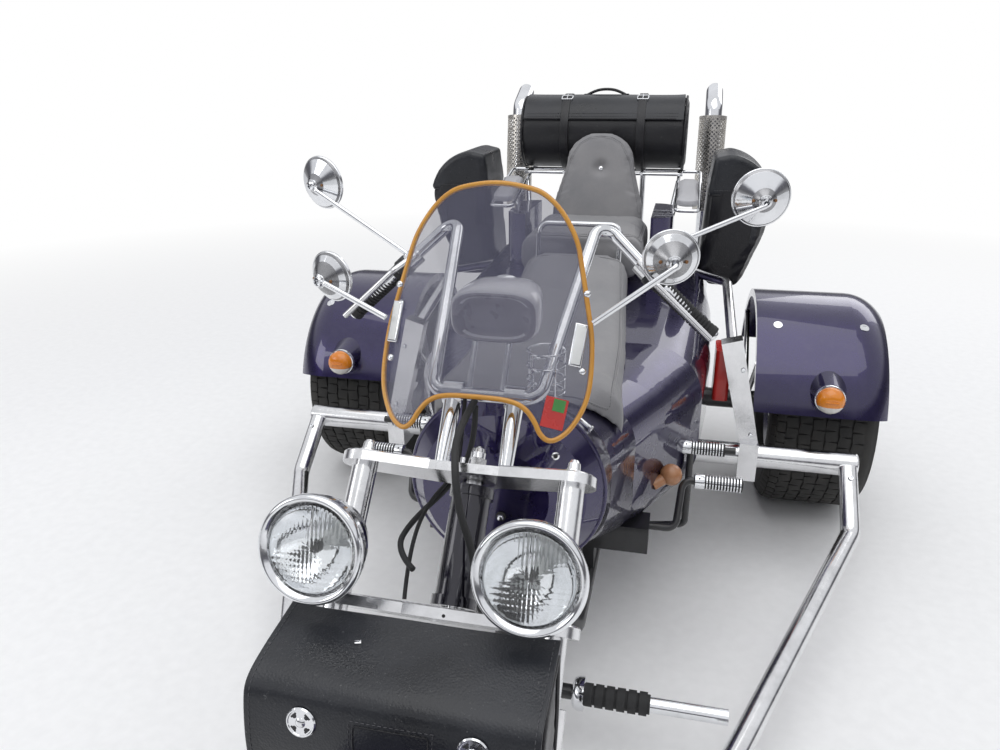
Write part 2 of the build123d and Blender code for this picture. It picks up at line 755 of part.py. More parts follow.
with BuildPart() as red_canister:
    with BuildSketch(Plane.XY.offset(485)):
        with Locations((444, 394)):
            RectangleRounded(44, 104, 12)
    extrude(amount=150)
    add(side_brackets.part, mode=Mode.SUBTRACT)
    add(body_tub.part, mode=Mode.SUBTRACT)
    add(side_stays.part, mode=Mode.SUBTRACT)
red_canister.part.label = "red_canister"
export_step(red_canister.part, "parts/red_canister.step")

# Lamps on brackets ahead of the fork tubes.
lamp_half = 151.0
lamp_y = -1006.0
lamp_z = 777.0
lamp_r = 76.0
lamp_tilt = 17.0
lamp_dir = (0, -cos(radians(lamp_tilt)), sin(radians(lamp_tilt)))
lens_r = lamp_r - 9
lamp_hold = -150.0
with BuildPart() as headlamps:
    for s in (-1, 1):
        plane = Plane(origin=(s * lamp_half, lamp_y, lamp_z), x_dir=(1, 0, 0), z_dir=lamp_dir)
        rim = [(lens_r, -3), (lamp_r - 4, 0), (lamp_r, -6), (lamp_r, -12), (lamp_r - 3, -16), (lamp_r - 3, -26)]
        bucket = [(lamp_r - 6, -30), (lamp_r - 9, -46), (lamp_r - 18, -70), (lamp_r - 36, -92), (20, -106), (0, -108)]
        bowl = [(0, -70), (lens_r - 30, -52), (lens_r, -22)]
        add(turned(plane, rim + bucket + bowl))
        stem = plane.from_local_coords((0, 0, -98))
        socket = head.from_local_coords((s * fork_half, -fork_offset, lamp_hold))
        add(tube([(stem.X, stem.Y, stem.Z), (socket.X, socket.Y, socket.Z)], 11, 0))
        collar = Plane(
            origin=head.from_local_coords((s * fork_half, -fork_offset, lamp_hold - 14)), x_dir=head.x_dir, z_dir=head.z_dir
        )
        with BuildSketch(collar):
            Circle(fork_tube_r + 7)
        extrude(amount=28)
    add(fork_tubes.part, mode=Mode.SUBTRACT)
headlamps.part.label = "headlamps"
export_step(headlamps.part, "parts/headlamps.step")

with BuildPart() as lamp_lenses:
    for s in (-1, 1):
        plane = Plane(origin=(s * lamp_half, lamp_y, lamp_z), x_dir=(1, 0, 0), z_dir=lamp_dir)
        dome = [(0, -14), (lens_r - 1, -20), (lens_r - 1, -4), (lens_r - 18, 1), (lens_r - 40, 4), (0, 5)]
        add(turned(plane, dome))
lamp_lenses.part.label = "lamp_lenses"
export_step(lamp_lenses.part, "parts/lamp_lenses.step")

# Fork bag: strapped in front of the tubes under the lamps.
bag_half = 192.0
bag_profile = ((-993, 672), (-1117, 652), (-1138, 556), (-1085, 520), (-1026, 492), (-1000, 560))
with BuildPart() as fork_bag:
    with BuildSketch(Plane.YZ.offset(-bag_half)):
        with BuildLine():
            Polyline(*bag_profile, close=True)
        make_face()
    extrude(amount=2 * bag_half)
    add(fork_tubes.part, mode=Mode.SUBTRACT)
    add(fork_legs.part, mode=Mode.SUBTRACT)
    add(fork_clamps.part, mode=Mode.SUBTRACT)
    add(headlamps.part, mode=Mode.SUBTRACT)
fork_bag.part.label = "fork_bag"
export_step(fork_bag.part, "parts/fork_bag.step")

# Handlebar on two risers, with grips, levers and mirrors.
riser_half = 54.0
riser_y = -24.0
riser_h = 138.0
riser_low_r = 12.0
riser_top_r = 16.5
bar_r = 12.0
with BuildPart() as handlebar:
    for s in (-1, 1):
        with BuildSketch(head.offset(clamp_top)):
            with Locations((s * riser_half, riser_y)):
                Circle(riser_low_r)
        with BuildSketch(head.offset(clamp_top + riser_h)):
            with Locations((s * riser_half, riser_y)):
                Circle(riser_top_r)
        loft(ruled=True)
        hold = Plane(
            origin=head.from_local_coords((s * riser_half - 17, riser_y, clamp_top + riser_h - 5)),
            x_dir=head.y_dir,
            z_dir=head.x_dir,
        )
        with BuildSketch(hold):
            Circle(bar_r + 9)
        extrude(amount=34)
    base = head.from_local_coords((riser_half, riser_y, clamp_top + riser_h - 5))
    bar = [(0, base.Y, base.Z), (riser_half + 40, base.Y, base.Z), (144, -256, 1102), (281, -302, 976), (378, -294, 887)]
    add(tube(bar, bar_r, 30))
    add(mirror(tube(bar, bar_r, 30), about=Plane.YZ))
handlebar.part.label = "handlebar"
export_step(handlebar.part, "parts/handlebar.step")

grip_in = (268.0, -296.0, 986.0)
grip_end = (378.0, -294.0, 887.0)
with BuildPart() as grips:
    add(tube([grip_in, grip_end], 17, 0))
    add(mirror(tube([grip_in, grip_end], 17, 0), about=Plane.YZ))
    add(handlebar.part, mode=Mode.SUBTRACT)
grips.part.label = "grips"
export_step(grips.part, "parts/grips.step")

perch = [(228, -284, 1022), (248, -292, 1004)]
with BuildPart() as hand_levers:
    for run in both_sides([(222, -282, 1030), (262, -350, 1000), (372, -360, 900)]):
        add(tube(run, 6, 15))
    for run in both_sides(perch):
        add(tube(run, 19, 0))
    add(handlebar.part, mode=Mode.SUBTRACT)
    add(grips.part, mode=Mode.SUBTRACT)
hand_levers.part.label = "hand_levers"
export_step(hand_levers.part, "parts/hand_levers.step")

# Mirrors: x, y, z of the centre, radius, outward turn, then where the rod starts.
mirror_table = (
    (-456, -262, 1157, 54, -20, (-240, -288, 1013), (-450, -282, 1146)),
    (449, -262, 1148, 54, 12, (222, -282, 1030), (455, -280, 1140)),
    (-310, -560, 1033, 45, -20, (-176, -618, 987), (-300, -585, 1032)),
    (295, -560, 1093, 45, 12, (178, -618, 999), (302, -585, 1089)),
)
with BuildPart() as mirrors:
    for x, y, z, r, turn, foot, elbow in mirror_table:
        facing = (-sin(radians(turn)), cos(radians(turn)), 0.08)
        plane = Plane(origin=(x, y, z), x_dir=(cos(radians(turn)), sin(radians(turn)), 0), z_dir=facing)
        add(turned(plane, [(0, -16), (10, -16), (14, -10), (r - 4, 10), (r, 16), (r, 22), (r - 3, 25), (0, 25)]))
        hub = plane.from_local_coords((0, 0, -8))
        add(tube([foot, elbow, (hub.X, hub.Y, hub.Z)], 5, 6))
    add(handlebar.part, mode=Mode.SUBTRACT)
    add(hand_levers.part, mode=Mode.SUBTRACT)
mirrors.part.label = "mirrors"
export_step(mirrors.part, "parts/mirrors.step")

pod_front = Plane(origin=(4, -566, 985), x_dir=(1, 0, 0), z_dir=(0, -1, 0))
pod_stem = head.from_local_coords((0, riser_y, clamp_top + riser_h))
with BuildPart() as instrument_pod:
    with BuildSketch(pod_front):
        RectangleRounded(156, 92, 30)
    with BuildSketch(pod_front.offset(-96)):
        with Locations((0, 8)):
            RectangleRounded(118, 84, 26)
    loft(ruled=True)
    with BuildSketch(pod_front):
        RectangleRounded(156, 92, 30)
    with BuildSketch(pod_front.offset(14)):
        with Locations((0, -6)):
            RectangleRounded(128, 70, 26)
    loft(ruled=True)
    for s in (-1, 1):
        add(tube([(s * 30, pod_stem.Y, pod_stem.Z), (s * 30, -550, 960)], 6, 0))
    add(handlebar.part, mode=Mode.SUBTRACT)
instrument_pod.part.label = "instrument_pod"
export_step(instrument_pod.part, "parts/instrument_pod.step")

# Windscreen: curved sheet cut to its outline, leaning back.
screen_tilt = 27.3
screen_bend = 390.0
screen_t = 4.0
screen = Plane(
    origin=(0, -693, 884),
    x_dir=(1, 0, 0),
    z_dir=(0, -cos(radians(screen_tilt)), sin(radians(screen_tilt))),
)
outline_half = (
    (0, 3), (55, 2), (82, -8), (100, -30), (108, -48), (125, -60), (148, -45), (165, -18), (177, 15),
    (180, 55), (177, 114), (167, 160), (150, 235), (140, 276), (113, 320), (85, 345), (60, 355), (0, 363),
)
outline = list(outline_half) + [(-x, y) for x, y in reversed(outline_half[1:-1])]
with BuildPart() as windscreen:
    with BuildSketch(Plane(origin=screen.origin, x_dir=(1, 0, 0), z_dir=screen.y_dir).offset(-100)):
        with Locations((0, screen_bend)):
            Circle(screen_bend)
            Circle(screen_bend - screen_t, mode=Mode.SUBTRACT)
    extrude(amount=520)
    with BuildSketch(screen.offset(-110)):
        with BuildLine():
            Polyline(*outline, close=True)
        make_face()
    extrude(amount=150, mode=Mode.INTERSECT)
windscreen.part.label = "windscreen"
export_step(windscreen.part, "parts/windscreen.step")

# Front fender: arch over the tyre, carried by a brace between the legs.
brace_drop = axle_local_y + fork_offset
brace_level = axle_local_z + sqrt((front_fender_r + fender_skin + 4) ** 2 - brace_drop**2)
with BuildPart() as front_fender:
    with BuildSketch(axle_plane(0, front_axle_y, front_axle_z)):
        Circle(front_fender_r + fender_skin)
        Circle(front_fender_r, mode=Mode.SUBTRACT)
        with Locations((0, -front_fender_r)):
            Rectangle(4 * front_fender_r, 2 * (front_fender_r + fender_edge), mode=Mode.SUBTRACT)
    extrude(amount=75, both=True)
    with BuildSketch(Plane(origin=head.from_local_coords((-fork_half, -fork_offset, brace_level)), z_dir=(1, 0, 0))):
        Circle(9)
    extrude(amount=2 * fork_half)
    add(fork_legs.part, mode=Mode.SUBTRACT)
front_fender.part.label = "front_fender"
export_step(front_fender.part, "parts/front_fender.step")

# Control hoses: from the handlebar over the front of the upper clamp down to the lower clamp.
# Columns: radius, then the points that the hose follows.
hose_table = (
    (6.0, [(-14, -645, 858), (-20, -735, 842), (-2, -812, 822), (10, -836, 760), (34, -842, 690), (56, -880, 610)]),
    (3.5, [(-30, -645, 868), (-36, -650, 800), (-42, -664, 730), (-84, -720, 690), (-92, -790, 640), (-84, -842, 588)]),
    (5.0, [(-12, -648, 850), (-14, -648, 780), (-46, -668, 712), (-104, -740, 668), (-112, -800, 650), (-70, -832, 640)]),
)


def bend_for(points):
    # The smallest arc of a route is bound by its shortest run: 0.45 of the run over the half turn's tangent.
    radii = []
    for before, here, after in zip(points, points[1:], points[2:]):
        a = Vector(*here) - Vector(*before)
        b = Vector(*after) - Vector(*here)
        half_turn = radians(a.get_angle(b)) / 2
        radii.append(0.45 * min(a.length, b.length) * cos(half_turn) / max(sin(half_turn), 0.01))
    return min(radii)


with BuildPart() as control_hoses:
    for r, route in hose_table:
        bend = bend_for(route)
        print("hose radius", r, "bend", round(bend, 1))
        add(tube(route, r, bend))
    add(handlebar.part, mode=Mode.SUBTRACT)
    add(fork_clamps.part, mode=Mode.SUBTRACT)
control_hoses.part.label = "control_hoses"
export_step(control_hoses.part, "parts/control_hoses.step")
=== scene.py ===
import bmesh
import bpy
import json
import math
from mathutils import Matrix, Vector
from mathutils.bvhtree import BVHTree


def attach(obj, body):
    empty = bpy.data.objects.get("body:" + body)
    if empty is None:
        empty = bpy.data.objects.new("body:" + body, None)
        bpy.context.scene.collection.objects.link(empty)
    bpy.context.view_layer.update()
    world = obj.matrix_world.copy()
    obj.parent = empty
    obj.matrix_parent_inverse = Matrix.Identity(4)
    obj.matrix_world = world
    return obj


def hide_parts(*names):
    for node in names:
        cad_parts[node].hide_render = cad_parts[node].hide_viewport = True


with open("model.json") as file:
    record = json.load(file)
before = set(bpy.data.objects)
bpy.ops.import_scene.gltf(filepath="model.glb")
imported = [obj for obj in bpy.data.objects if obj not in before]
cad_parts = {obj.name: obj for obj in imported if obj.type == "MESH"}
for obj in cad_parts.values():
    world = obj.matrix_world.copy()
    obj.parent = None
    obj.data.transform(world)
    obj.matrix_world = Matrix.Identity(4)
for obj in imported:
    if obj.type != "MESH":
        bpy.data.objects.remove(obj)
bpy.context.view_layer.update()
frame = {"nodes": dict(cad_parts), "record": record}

nodes = frame["nodes"]
print("frame loaded")


# materials: every finish is a small node tree on Object coordinates
def startMaterial(name, **sockets):
    mat = bpy.data.materials.new(name)
    mat.use_nodes = True
    shader = mat.node_tree.nodes["Principled BSDF"]
    for key, value in sockets.items():
        shader.inputs[key.replace("_", " ")].default_value = value
    return mat, mat.node_tree


def addNode(tree, kind, inputs=(), **settings):  # a node with its settings, then its values and links
    node = tree.nodes.new("ShaderNode" + kind)
    for key, value in settings.items():
        setattr(node, key, value)
    for socket, value in inputs:
        if isinstance(value, bpy.types.NodeSocket):
            tree.links.new(value, node.inputs[socket])
        else:
            node.inputs[socket].default_value = value
    return node


def objectCoords(tree, stretch=(1, 1, 1)):
    coords = addNode(tree, "TexCoord")
    inputs = (("Vector", coords.outputs["Object"]), ("Scale", stretch))
    return addNode(tree, "Mapping", inputs).outputs["Vector"]


def addNoise(tree, vector, scale, detail=3.0, rough=0.55):
    inputs = (("Vector", vector), ("Scale", scale), ("Detail", detail), ("Roughness", rough))
    return addNode(tree, "TexNoise", inputs).outputs["Fac"]


def addCells(tree, vector, scale):
    return addNode(tree, "TexVoronoi", (("Vector", vector), ("Scale", scale))).outputs["Distance"]


def addRamp(tree, factor, stops):
    node = addNode(tree, "ValToRGB", (("Fac", factor),))
    while len(node.color_ramp.elements) < len(stops):
        node.color_ramp.elements.new(0.5)
    for element, (place, colour) in zip(node.color_ramp.elements, stops):
        element.position = place
        element.color = (*colour, 1)
    return node.outputs["Color"]


def addRange(tree, factor, low, high, fromLow=0.3, fromHigh=0.7):
    ends = (("From Min", fromLow), ("From Max", fromHigh), ("To Min", low), ("To Max", high))
    return addNode(tree, "MapRange", (("Value", factor), *ends)).outputs["Result"]


def addBump(tree, height, distance, strength=1.0, below=None):
    inputs = [("Height", height), ("Strength", strength), ("Distance", distance)]
    if below is not None:
        inputs.append(("Normal", below))
    return addNode(tree, "Bump", inputs).outputs["Normal"]


def addMix(tree, factor, first, second, blend="MIX"):
    inputs = ((0, factor), (6, first), (7, second))
    return addNode(tree, "Mix", inputs, data_type="RGBA", blend_type=blend).outputs[2]


def linkShader(mat, colour, rough, normal):
    shader = mat.node_tree.nodes["Principled BSDF"]
    for socket, value in (("Base Color", colour), ("Roughness", rough), ("Normal", normal)):
        mat.node_tree.links.new(value, shader.inputs[socket])
    return mat


def makePaint(name, dark, light):  # deep metallic paint under clear coat, with a thin film of dust
    mat, tree = startMaterial(name, Metallic=0.85, Coat_Weight=1.0, Coat_Roughness=0.03, Coat_IOR=1.6)
    vector = objectCoords(tree)
    tint = addRamp(tree, addNoise(tree, vector, 3.5, 4), ((0.3, dark), (0.75, light)))
    sparkle = addRamp(tree, addCells(tree, vector, 2600), ((0.0, (1, 1, 1)), (0.55, (0.72, 0.70, 0.78))))
    flaked = addMix(tree, 1.0, tint, sparkle, "MULTIPLY")
    dust = addNoise(tree, vector, 26, 6, 0.65)
    dusty = addMix(tree, addRange(tree, dust, 0.0, 0.05, 0.5, 0.8), flaked, (0.24, 0.23, 0.24, 1))
    ripple = addBump(tree, addNoise(tree, vector, 60, 2), 0.0002, 0.08)
    return linkShader(mat, dusty, addRange(tree, dust, 0.24, 0.34), ripple)


def makeMetal(name, colour, roughLow, roughHigh, stretch=(1, 1, 1), grain=220, depth=0.00008):
    mat, tree = startMaterial(name, Metallic=1.0)
    streak = addNoise(tree, objectCoords(tree, stretch), grain, 3)
    stain = addNoise(tree, objectCoords(tree), 9, 6, 0.7)
    tint = addRamp(tree, stain, ((0.32, tuple(0.80 * c for c in colour)), (0.58, colour)))
    rough = addRange(tree, addMix(tree, 0.5, streak, stain), roughLow, roughHigh, 0.35, 0.68)
    return linkShader(mat, tint, rough, addBump(tree, streak, depth, 0.5))


def makeLeather(name, dark, light, roughLow, roughHigh, grain=420, depth=0.0005, dust=None, sheen=0.1):
    mat, tree = startMaterial(name, Sheen_Weight=sheen, Specular_IOR_Level=0.45)
    vector = objectCoords(tree)
    broad = addNoise(tree, vector, 7, 5, 0.6)
    colour = addRamp(tree, broad, ((0.3, dark), (0.72, light)))
    if dust is not None:
        speck = addNoise(tree, vector, 150, 3, 0.75)
        colour = addMix(tree, addRange(tree, speck, 0.0, 0.5, 0.64, 0.80), colour, (*dust, 1))
    pores = addBump(tree, addCells(tree, vector, grain), depth, 0.55)
    folds = addBump(tree, addNoise(tree, vector, 22, 4), 0.0025, 0.35, pores)
    fine = addBump(tree, addNoise(tree, vector, grain * 2.2, 2), depth * 0.4, 0.4, folds)
    return linkShader(mat, colour, addRange(tree, broad, roughLow, roughHigh), fine)


def makePlain(name, dark, light, roughLow, roughHigh, grain=260, depth=0.0002, **sockets):
    mat, tree = startMaterial(name, **sockets)
    vector = objectCoords(tree)
    broad = addNoise(tree, vector, 14, 5, 0.65)
    colour = addRamp(tree, broad, ((0.3, dark), (0.7, light)))
    fine = addBump(tree, addNoise(tree, vector, grain, 3), depth, 0.6)
    return linkShader(mat, colour, addRange(tree, broad, roughLow, roughHigh), fine)


paintLooks = {
    "indigo_paint": ("indigoPaint", (0.021, 0.014, 0.074), (0.031, 0.021, 0.100)),
    "deep_paint": ("deepPaint", (0.008, 0.007, 0.014), (0.014, 0.012, 0.024)),
}
metalLooks = {  # colour, roughness from and to, stretch of the streaks, their grain and depth
    "chrome": ("chromePlate", (0.86, 0.87, 0.89), 0.04, 0.16),
    "polished": ("polishedSteel", (0.82, 0.82, 0.83), 0.10, 0.26, (1, 0.15, 1)),
    "cast_metal": ("castMetal", (0.30, 0.30, 0.31), 0.45, 0.65, (1, 1, 1), 120, 0.0005),
    "reflector": ("lampReflector", (0.90, 0.91, 0.93), 0.03, 0.08, (1, 1, 1), 220, 0.00002),
    "shield_metal": ("shieldMetal", (0.74, 0.71, 0.66), 0.24, 0.42, (1, 1, 1), 220, 0.00006),
    "satin_metal": ("satinMetal", (0.34, 0.34, 0.35), 0.22, 0.36, (1, 1, 1), 220, 0.00004),
    "mirror_glass": ("mirrorGlass", (0.80, 0.84, 0.88), 0.01, 0.03, (1, 1, 1), 220, 0.00001),
    "rusty_metal": ("rustyScrew", (0.30, 0.16, 0.08), 0.45, 0.70, (1, 1, 1), 220, 0.0003),
}
leatherLooks = {  # dark and light, roughness from and to, grain, depth, dust, sheen
    "grey_leather": ("greyLeatherette", (0.20, 0.20, 0.21), (0.27, 0.265, 0.27), 0.46, 0.62),
    "pale_leather": ("paleLeatherette", (0.40, 0.40, 0.42), (0.50, 0.50, 0.52), 0.40, 0.55),
    "black_leather": (
        "blackLeather", (0.008, 0.008, 0.010), (0.018, 0.018, 0.021), 0.26, 0.46, 300, 0.0006,
        (0.20, 0.19, 0.18), 0.03,
    ),
    # bag_sheen: black leather with real dust specks, a little lighter and bluer than blackLeather on the
    # flaps, lids and straps; that lift and blue tint are a painted sheen
    "bag_sheen": (
        "paintedSheenLeather", (0.010, 0.011, 0.014), (0.024, 0.026, 0.032), 0.24, 0.38, 300, 0.0005,
        (0.24, 0.24, 0.24), 0.03,
    ),
}
plainLooks = {  # dark and light, roughness from and to, grain, depth; then what the shader has besides
    "thread": (("seamThread", (0.055, 0.055, 0.06), (0.10, 0.10, 0.11), 0.60, 0.80, 900, 0.0001), {}),
    "rubber": (("blackRubber", (0.012, 0.012, 0.013), (0.030, 0.030, 0.031), 0.55, 0.80), {}),
    "tyre": (("tyreRubber", (0.014, 0.014, 0.014), (0.045, 0.043, 0.040), 0.70, 0.92, 180, 0.0006), {}),
    "frame_black": (
        ("frameBlack", (0.010, 0.010, 0.011), (0.026, 0.026, 0.028), 0.28, 0.50), {"Coat_Weight": 0.4},
    ),
    "black_plastic": (("blackPlastic", (0.016, 0.016, 0.018), (0.032, 0.032, 0.035), 0.35, 0.55), {}),
    "amber": (("amberPlastic", (0.62, 0.17, 0.008), (0.80, 0.27, 0.015), 0.10, 0.20), {"Coat_Weight": 0.6}),
    "red_plastic": (
        ("redPlastic", (0.42, 0.012, 0.008), (0.58, 0.022, 0.014), 0.22, 0.40), {"Coat_Weight": 0.5},
    ),
    "wood": (
        ("turnedWood", (0.30, 0.12, 0.045), (0.50, 0.25, 0.12), 0.28, 0.45, 90, 0.0003), {"Coat_Weight": 0.5},
    ),
    "clear_glass": (
        ("lampGlass", (0.93, 0.95, 0.96), (0.98, 0.99, 1.0), 0.01, 0.05), {"Transmission_Weight": 1.0},
    ),
    "smoked_screen": (
        ("smokedAcrylic", (0.10, 0.10, 0.155), (0.13, 0.13, 0.19), 0.03, 0.06, 300, 0.00005), {"Alpha": 0.36},
    ),
    "amber_trim": (("amberTrim", (0.50, 0.22, 0.02), (0.62, 0.30, 0.04), 0.15, 0.30), {"Coat_Weight": 0.3}),
    # pod shell: the near-white is a painted highlight of the lit top; pod front: the darker grey is painted
    # shade on the forward faces
    "pod_painted_highlight": (
        ("podShell", (0.88, 0.88, 0.91), (0.95, 0.95, 0.98), 0.12, 0.22, 200, 0.00003), {"Coat_Weight": 0.8},
    ),
    "pod_front": (
        ("podFrontPaintedShade", (0.42, 0.41, 0.44), (0.50, 0.49, 0.52), 0.22, 0.36, 200, 0.00003), {"Metallic": 0.3},
    ),
    "pale_lens": (("paleLens", (0.62, 0.60, 0.56), (0.74, 0.72, 0.68), 0.08, 0.18), {"Coat_Weight": 0.6}),
    # white: the lamp bulbs' own colour, and a painted reflection on the faces of the chrome screen plates
    "white_bulbs_and_painted_reflection": (("whiteBulbsAndPaintedReflection", (0.70, 0.71, 0.70), (0.80, 0.81, 0.80), 0.25, 0.45), {}),
    "green_patch": (("greenPatch", (0.05, 0.22, 0.05), (0.09, 0.30, 0.08), 0.30, 0.45), {}),
}
finish = {look: makePaint(*facts) for look, facts in paintLooks.items()}
finish.update({look: makeMetal(*facts) for look, facts in metalLooks.items()})
finish.update({look: makeLeather(*facts) for look, facts in leatherLooks.items()})
finish.update({look: makePlain(*facts, **sockets) for look, (facts, sockets) in plainLooks.items()})
slotOf = {row["node"]: row["material_slot"] for row in frame["record"]["subparts"]}
for name, node in nodes.items():
    node.data.materials.clear()
    node.data.materials.append(finish[slotOf[name]])
print("finishes placed")


# modelling helpers
def pickOnly(*pieces):
    bpy.ops.object.select_all(action="DESELECT")
    for piece in pieces:
        piece.select_set(True)
    if pieces:
        bpy.context.view_layer.objects.active = pieces[0]


def selectAll():
    bpy.ops.mesh.select_all(action="SELECT")


def editPiece(piece):
    pickOnly(piece)
    bpy.ops.object.mode_set(mode="EDIT")
    selectAll()


def leaveEdit():
    selectAll()
    bpy.ops.mesh.normals_make_consistent(inside=False)
    bpy.ops.object.mode_set(mode="OBJECT")


def addModifier(piece, kind, **settings):
    modifier = piece.modifiers.new(kind.lower(), kind)
    for key, value in settings.items():
        setattr(modifier, key, value)
    return modifier


def applyAll(piece):  # place and modifiers go into the mesh
    pickOnly(piece)
    for modifier in list(piece.modifiers):
        bpy.ops.object.modifier_apply(modifier=modifier.name)
    bpy.ops.object.transform_apply(location=True, rotation=True, scale=True)


def sweepCircle(place, axis, rows, sides, fill):  # rows are (radius, way along the axis); stays in edit mode
    ahead = Vector(axis).normalized()
    radius, height = rows[0]
    pickOnly()
    bpy.ops.mesh.primitive_circle_add(
        vertices=sides, radius=radius, fill_type=fill, location=Vector(place) + ahead * height,
        rotation=ahead.to_track_quat("Z", "Y").to_euler(),
    )
    piece = bpy.context.object
    bpy.ops.object.mode_set(mode="EDIT")
    selectAll()
    for nextRadius, nextHeight in rows[1:]:
        bpy.ops.mesh.extrude_region_move(TRANSFORM_OT_translate={"value": ahead * (nextHeight - height)})
        bpy.ops.transform.resize(value=(nextRadius / radius,) * 3)
        radius, height = nextRadius, nextHeight
    return piece


def turnPiece(place, axis, rows, sides=24):  # a solid turned shape
    piece = sweepCircle(place, axis, rows, sides, "NGON")
    leaveEdit()
    return piece


def turnRing(place, axis, rows, sides=48, close=True):  # an open turned shape, or a section round a ring
    piece = sweepCircle(place, axis, list(rows) + ([rows[0]] if close else []), sides, "NOTHING")
    selectAll()
    bpy.ops.mesh.remove_doubles(threshold=0.00001)
    leaveEdit()
    return piece


def roundRing(place, axis, radius, wire, sides=64, steps=10):
    turns = [2 * math.pi * i / steps for i in range(steps)]
    return turnRing(place, axis, [(radius + wire * math.cos(t), wire * math.sin(t)) for t in turns], sides)


def addBlock(place, size, turn=(0, 0, 0), bevel=0.002, segments=2):
    pickOnly()
    bpy.ops.mesh.primitive_cube_add(size=1, location=place, rotation=turn, scale=size)
    piece = bpy.context.object
    bpy.ops.object.transform_apply(location=False, rotation=False, scale=True)
    addModifier(piece, "BEVEL", width=bevel, segments=segments)
    applyAll(piece)
    return piece


def startCurve(name, points, radius, roundness, steps, order, closed):
    curve = bpy.data.curves.new(name, "CURVE")
    curve.dimensions = "3D"
    curve.bevel_depth = radius
    curve.bevel_resolution = roundness
    curve.resolution_u = steps
    curve.use_fill_caps = True
    line = curve.splines.new("NURBS")
    line.points.add(len(points) - 1)
    for spot, place in zip(line.points, points):
        spot.co = (*place, 1)
    line.order_u = order
    line.use_endpoint_u = not closed
    line.use_cyclic_u = closed
    piece = bpy.data.objects.new(name, curve)
    bpy.context.collection.objects.link(piece)
    return piece


def addWire(points, radius, closed=False, roundness=3, order=3):  # a swept wire, turned into a mesh
    pickOnly(startCurve("wire", points, radius, roundness, 6, order, closed))
    bpy.ops.object.convert(target="MESH")
    return bpy.context.object


def otherSide(piece):
    double = piece.copy()
    double.data = piece.data.copy()
    double.data.transform(Matrix.Scale(-1, 4, (1, 0, 0)))
    double.data.flip_normals()
    bpy.context.collection.objects.link(double)
    return double


def joinPieces(pieces):
    pickOnly(*pieces)
    bpy.ops.object.join()
    return bpy.context.object


def finishPiece(piece, name, body, slotName, look=None, smooth=38):
    applyAll(piece)
    piece.name = name
    if not piece.data.materials:
        piece.data.materials.append(finish[look or slotName])
    bpy.ops.object.shade_smooth_by_angle(angle=math.radians(smooth))
    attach(piece, body)
    return piece


def paintPiece(piece, look):
    piece.data.materials.clear()
    piece.data.materials.append(finish[look])


def scatterCopies(piece, matrices):  # one mesh that holds a copy for each matrix
    whole = bmesh.new()
    for matrix in matrices:
        one = piece.data.copy()
        one.transform(matrix)
        whole.from_mesh(one)
        bpy.data.meshes.remove(one)
    whole.to_mesh(piece.data)
    whole.free()
    return piece


def surfaceTree(piece):
    bpy.context.view_layer.update()
    return BVHTree.FromObject(piece, bpy.context.evaluated_depsgraph_get())


def dropOn(piece, spots, ahead, lift=0.0):  # where rays from the spots meet the piece
    tree = surfaceTree(piece)
    landed = []
    for spot in spots:
        place, normal, index, distance = tree.ray_cast(Vector(spot), Vector(ahead).normalized())
        if place is not None:
            landed.append(place + normal * lift)
    return landed


view = {"place": (0.3107, -1.8130, 1.3776), "turn": -13.493, "pitch": 21.333, "roll": -0.547, "lens": 28.06}
photo = {"middle": (500, 375), "sensor": 36}


def viewAxes():  # the ways right, down and ahead of the photograph's camera
    turn, pitch, roll = (math.radians(view[k]) for k in ("turn", "pitch", "roll"))
    side = Vector((math.cos(turn), -math.sin(turn), 0))
    level = Vector((math.sin(turn), math.cos(turn), 0))
    ahead = level * math.cos(pitch) - Vector((0, 0, math.sin(pitch)))
    down = ahead.cross(side)
    return math.cos(roll) * side - math.sin(roll) * down, math.sin(roll) * side + math.cos(roll) * down, ahead


def pixelRay(px, py):  # the way that the camera looks at one pixel
    right, down, ahead = viewAxes()
    focal = view["lens"] / photo["sensor"] * 2 * photo["middle"][0]
    across, below = px - photo["middle"][0], py - photo["middle"][1]
    return (ahead + right * across / focal + down * below / focal).normalized()


def landPixel(piece, px, py):
    place, normal, index, distance = surfaceTree(piece).ray_cast(Vector(view["place"]), pixelRay(px, py))
    return place, normal


def runLength(line):
    return sum((b - a).length for a, b in zip(line, line[1:]))


def walkAlong(points, step):  # evenly spaced places with the direction of travel
    line = [Vector(p) for p in points]
    found = []
    carry = step / 2
    for start, end in zip(line, line[1:]):
        length = (end - start).length
        if length < 1e-6:
            continue
        while carry < length:
            found.append((start.lerp(end, carry / length), (end - start).normalized()))
            carry += step
        carry -= length
    return found


def denser(points, step, closed=False):  # more spots on the same straight runs
    line = [Vector(p) for p in points]
    if closed:
        line.append(line[0])
    out = []
    for start, end in zip(line, line[1:]):
        count = max(1, int((end - start).length / step))
        out += [start.lerp(end, i / count) for i in range(count)]
    return out if closed else out + [line[-1]]


def smoothRun(points, rounds=3):  # corners of a run cut back, ends kept
    line = [Vector(p) for p in points]
    for _ in range(rounds):
        cut = [line[0]]
        for start, end in zip(line, line[1:]):
            cut += [start.lerp(end, 0.25), start.lerp(end, 0.75)]
        line = cut + [line[-1]]
    return line


def addStitches(points, name, body, slotName, dash=0.0042, gap=0.0026, radius=0.0006):
    rows = ((radius * 0.5, 0), (radius, dash * 0.2), (radius, dash * 0.8), (radius * 0.5, dash))
    stitch = turnPiece((0, 0, -dash / 2), (0, 0, 1), rows, 6)
    applyAll(stitch)
    turned = []
    for place, ahead in walkAlong(points, dash + gap):
        turned.append(Matrix.Translation(place) @ ahead.to_track_quat("Z", "Y").to_matrix().to_4x4())
    return finishPiece(scatterCopies(stitch, turned), name, body, slotName, "thread", 60)


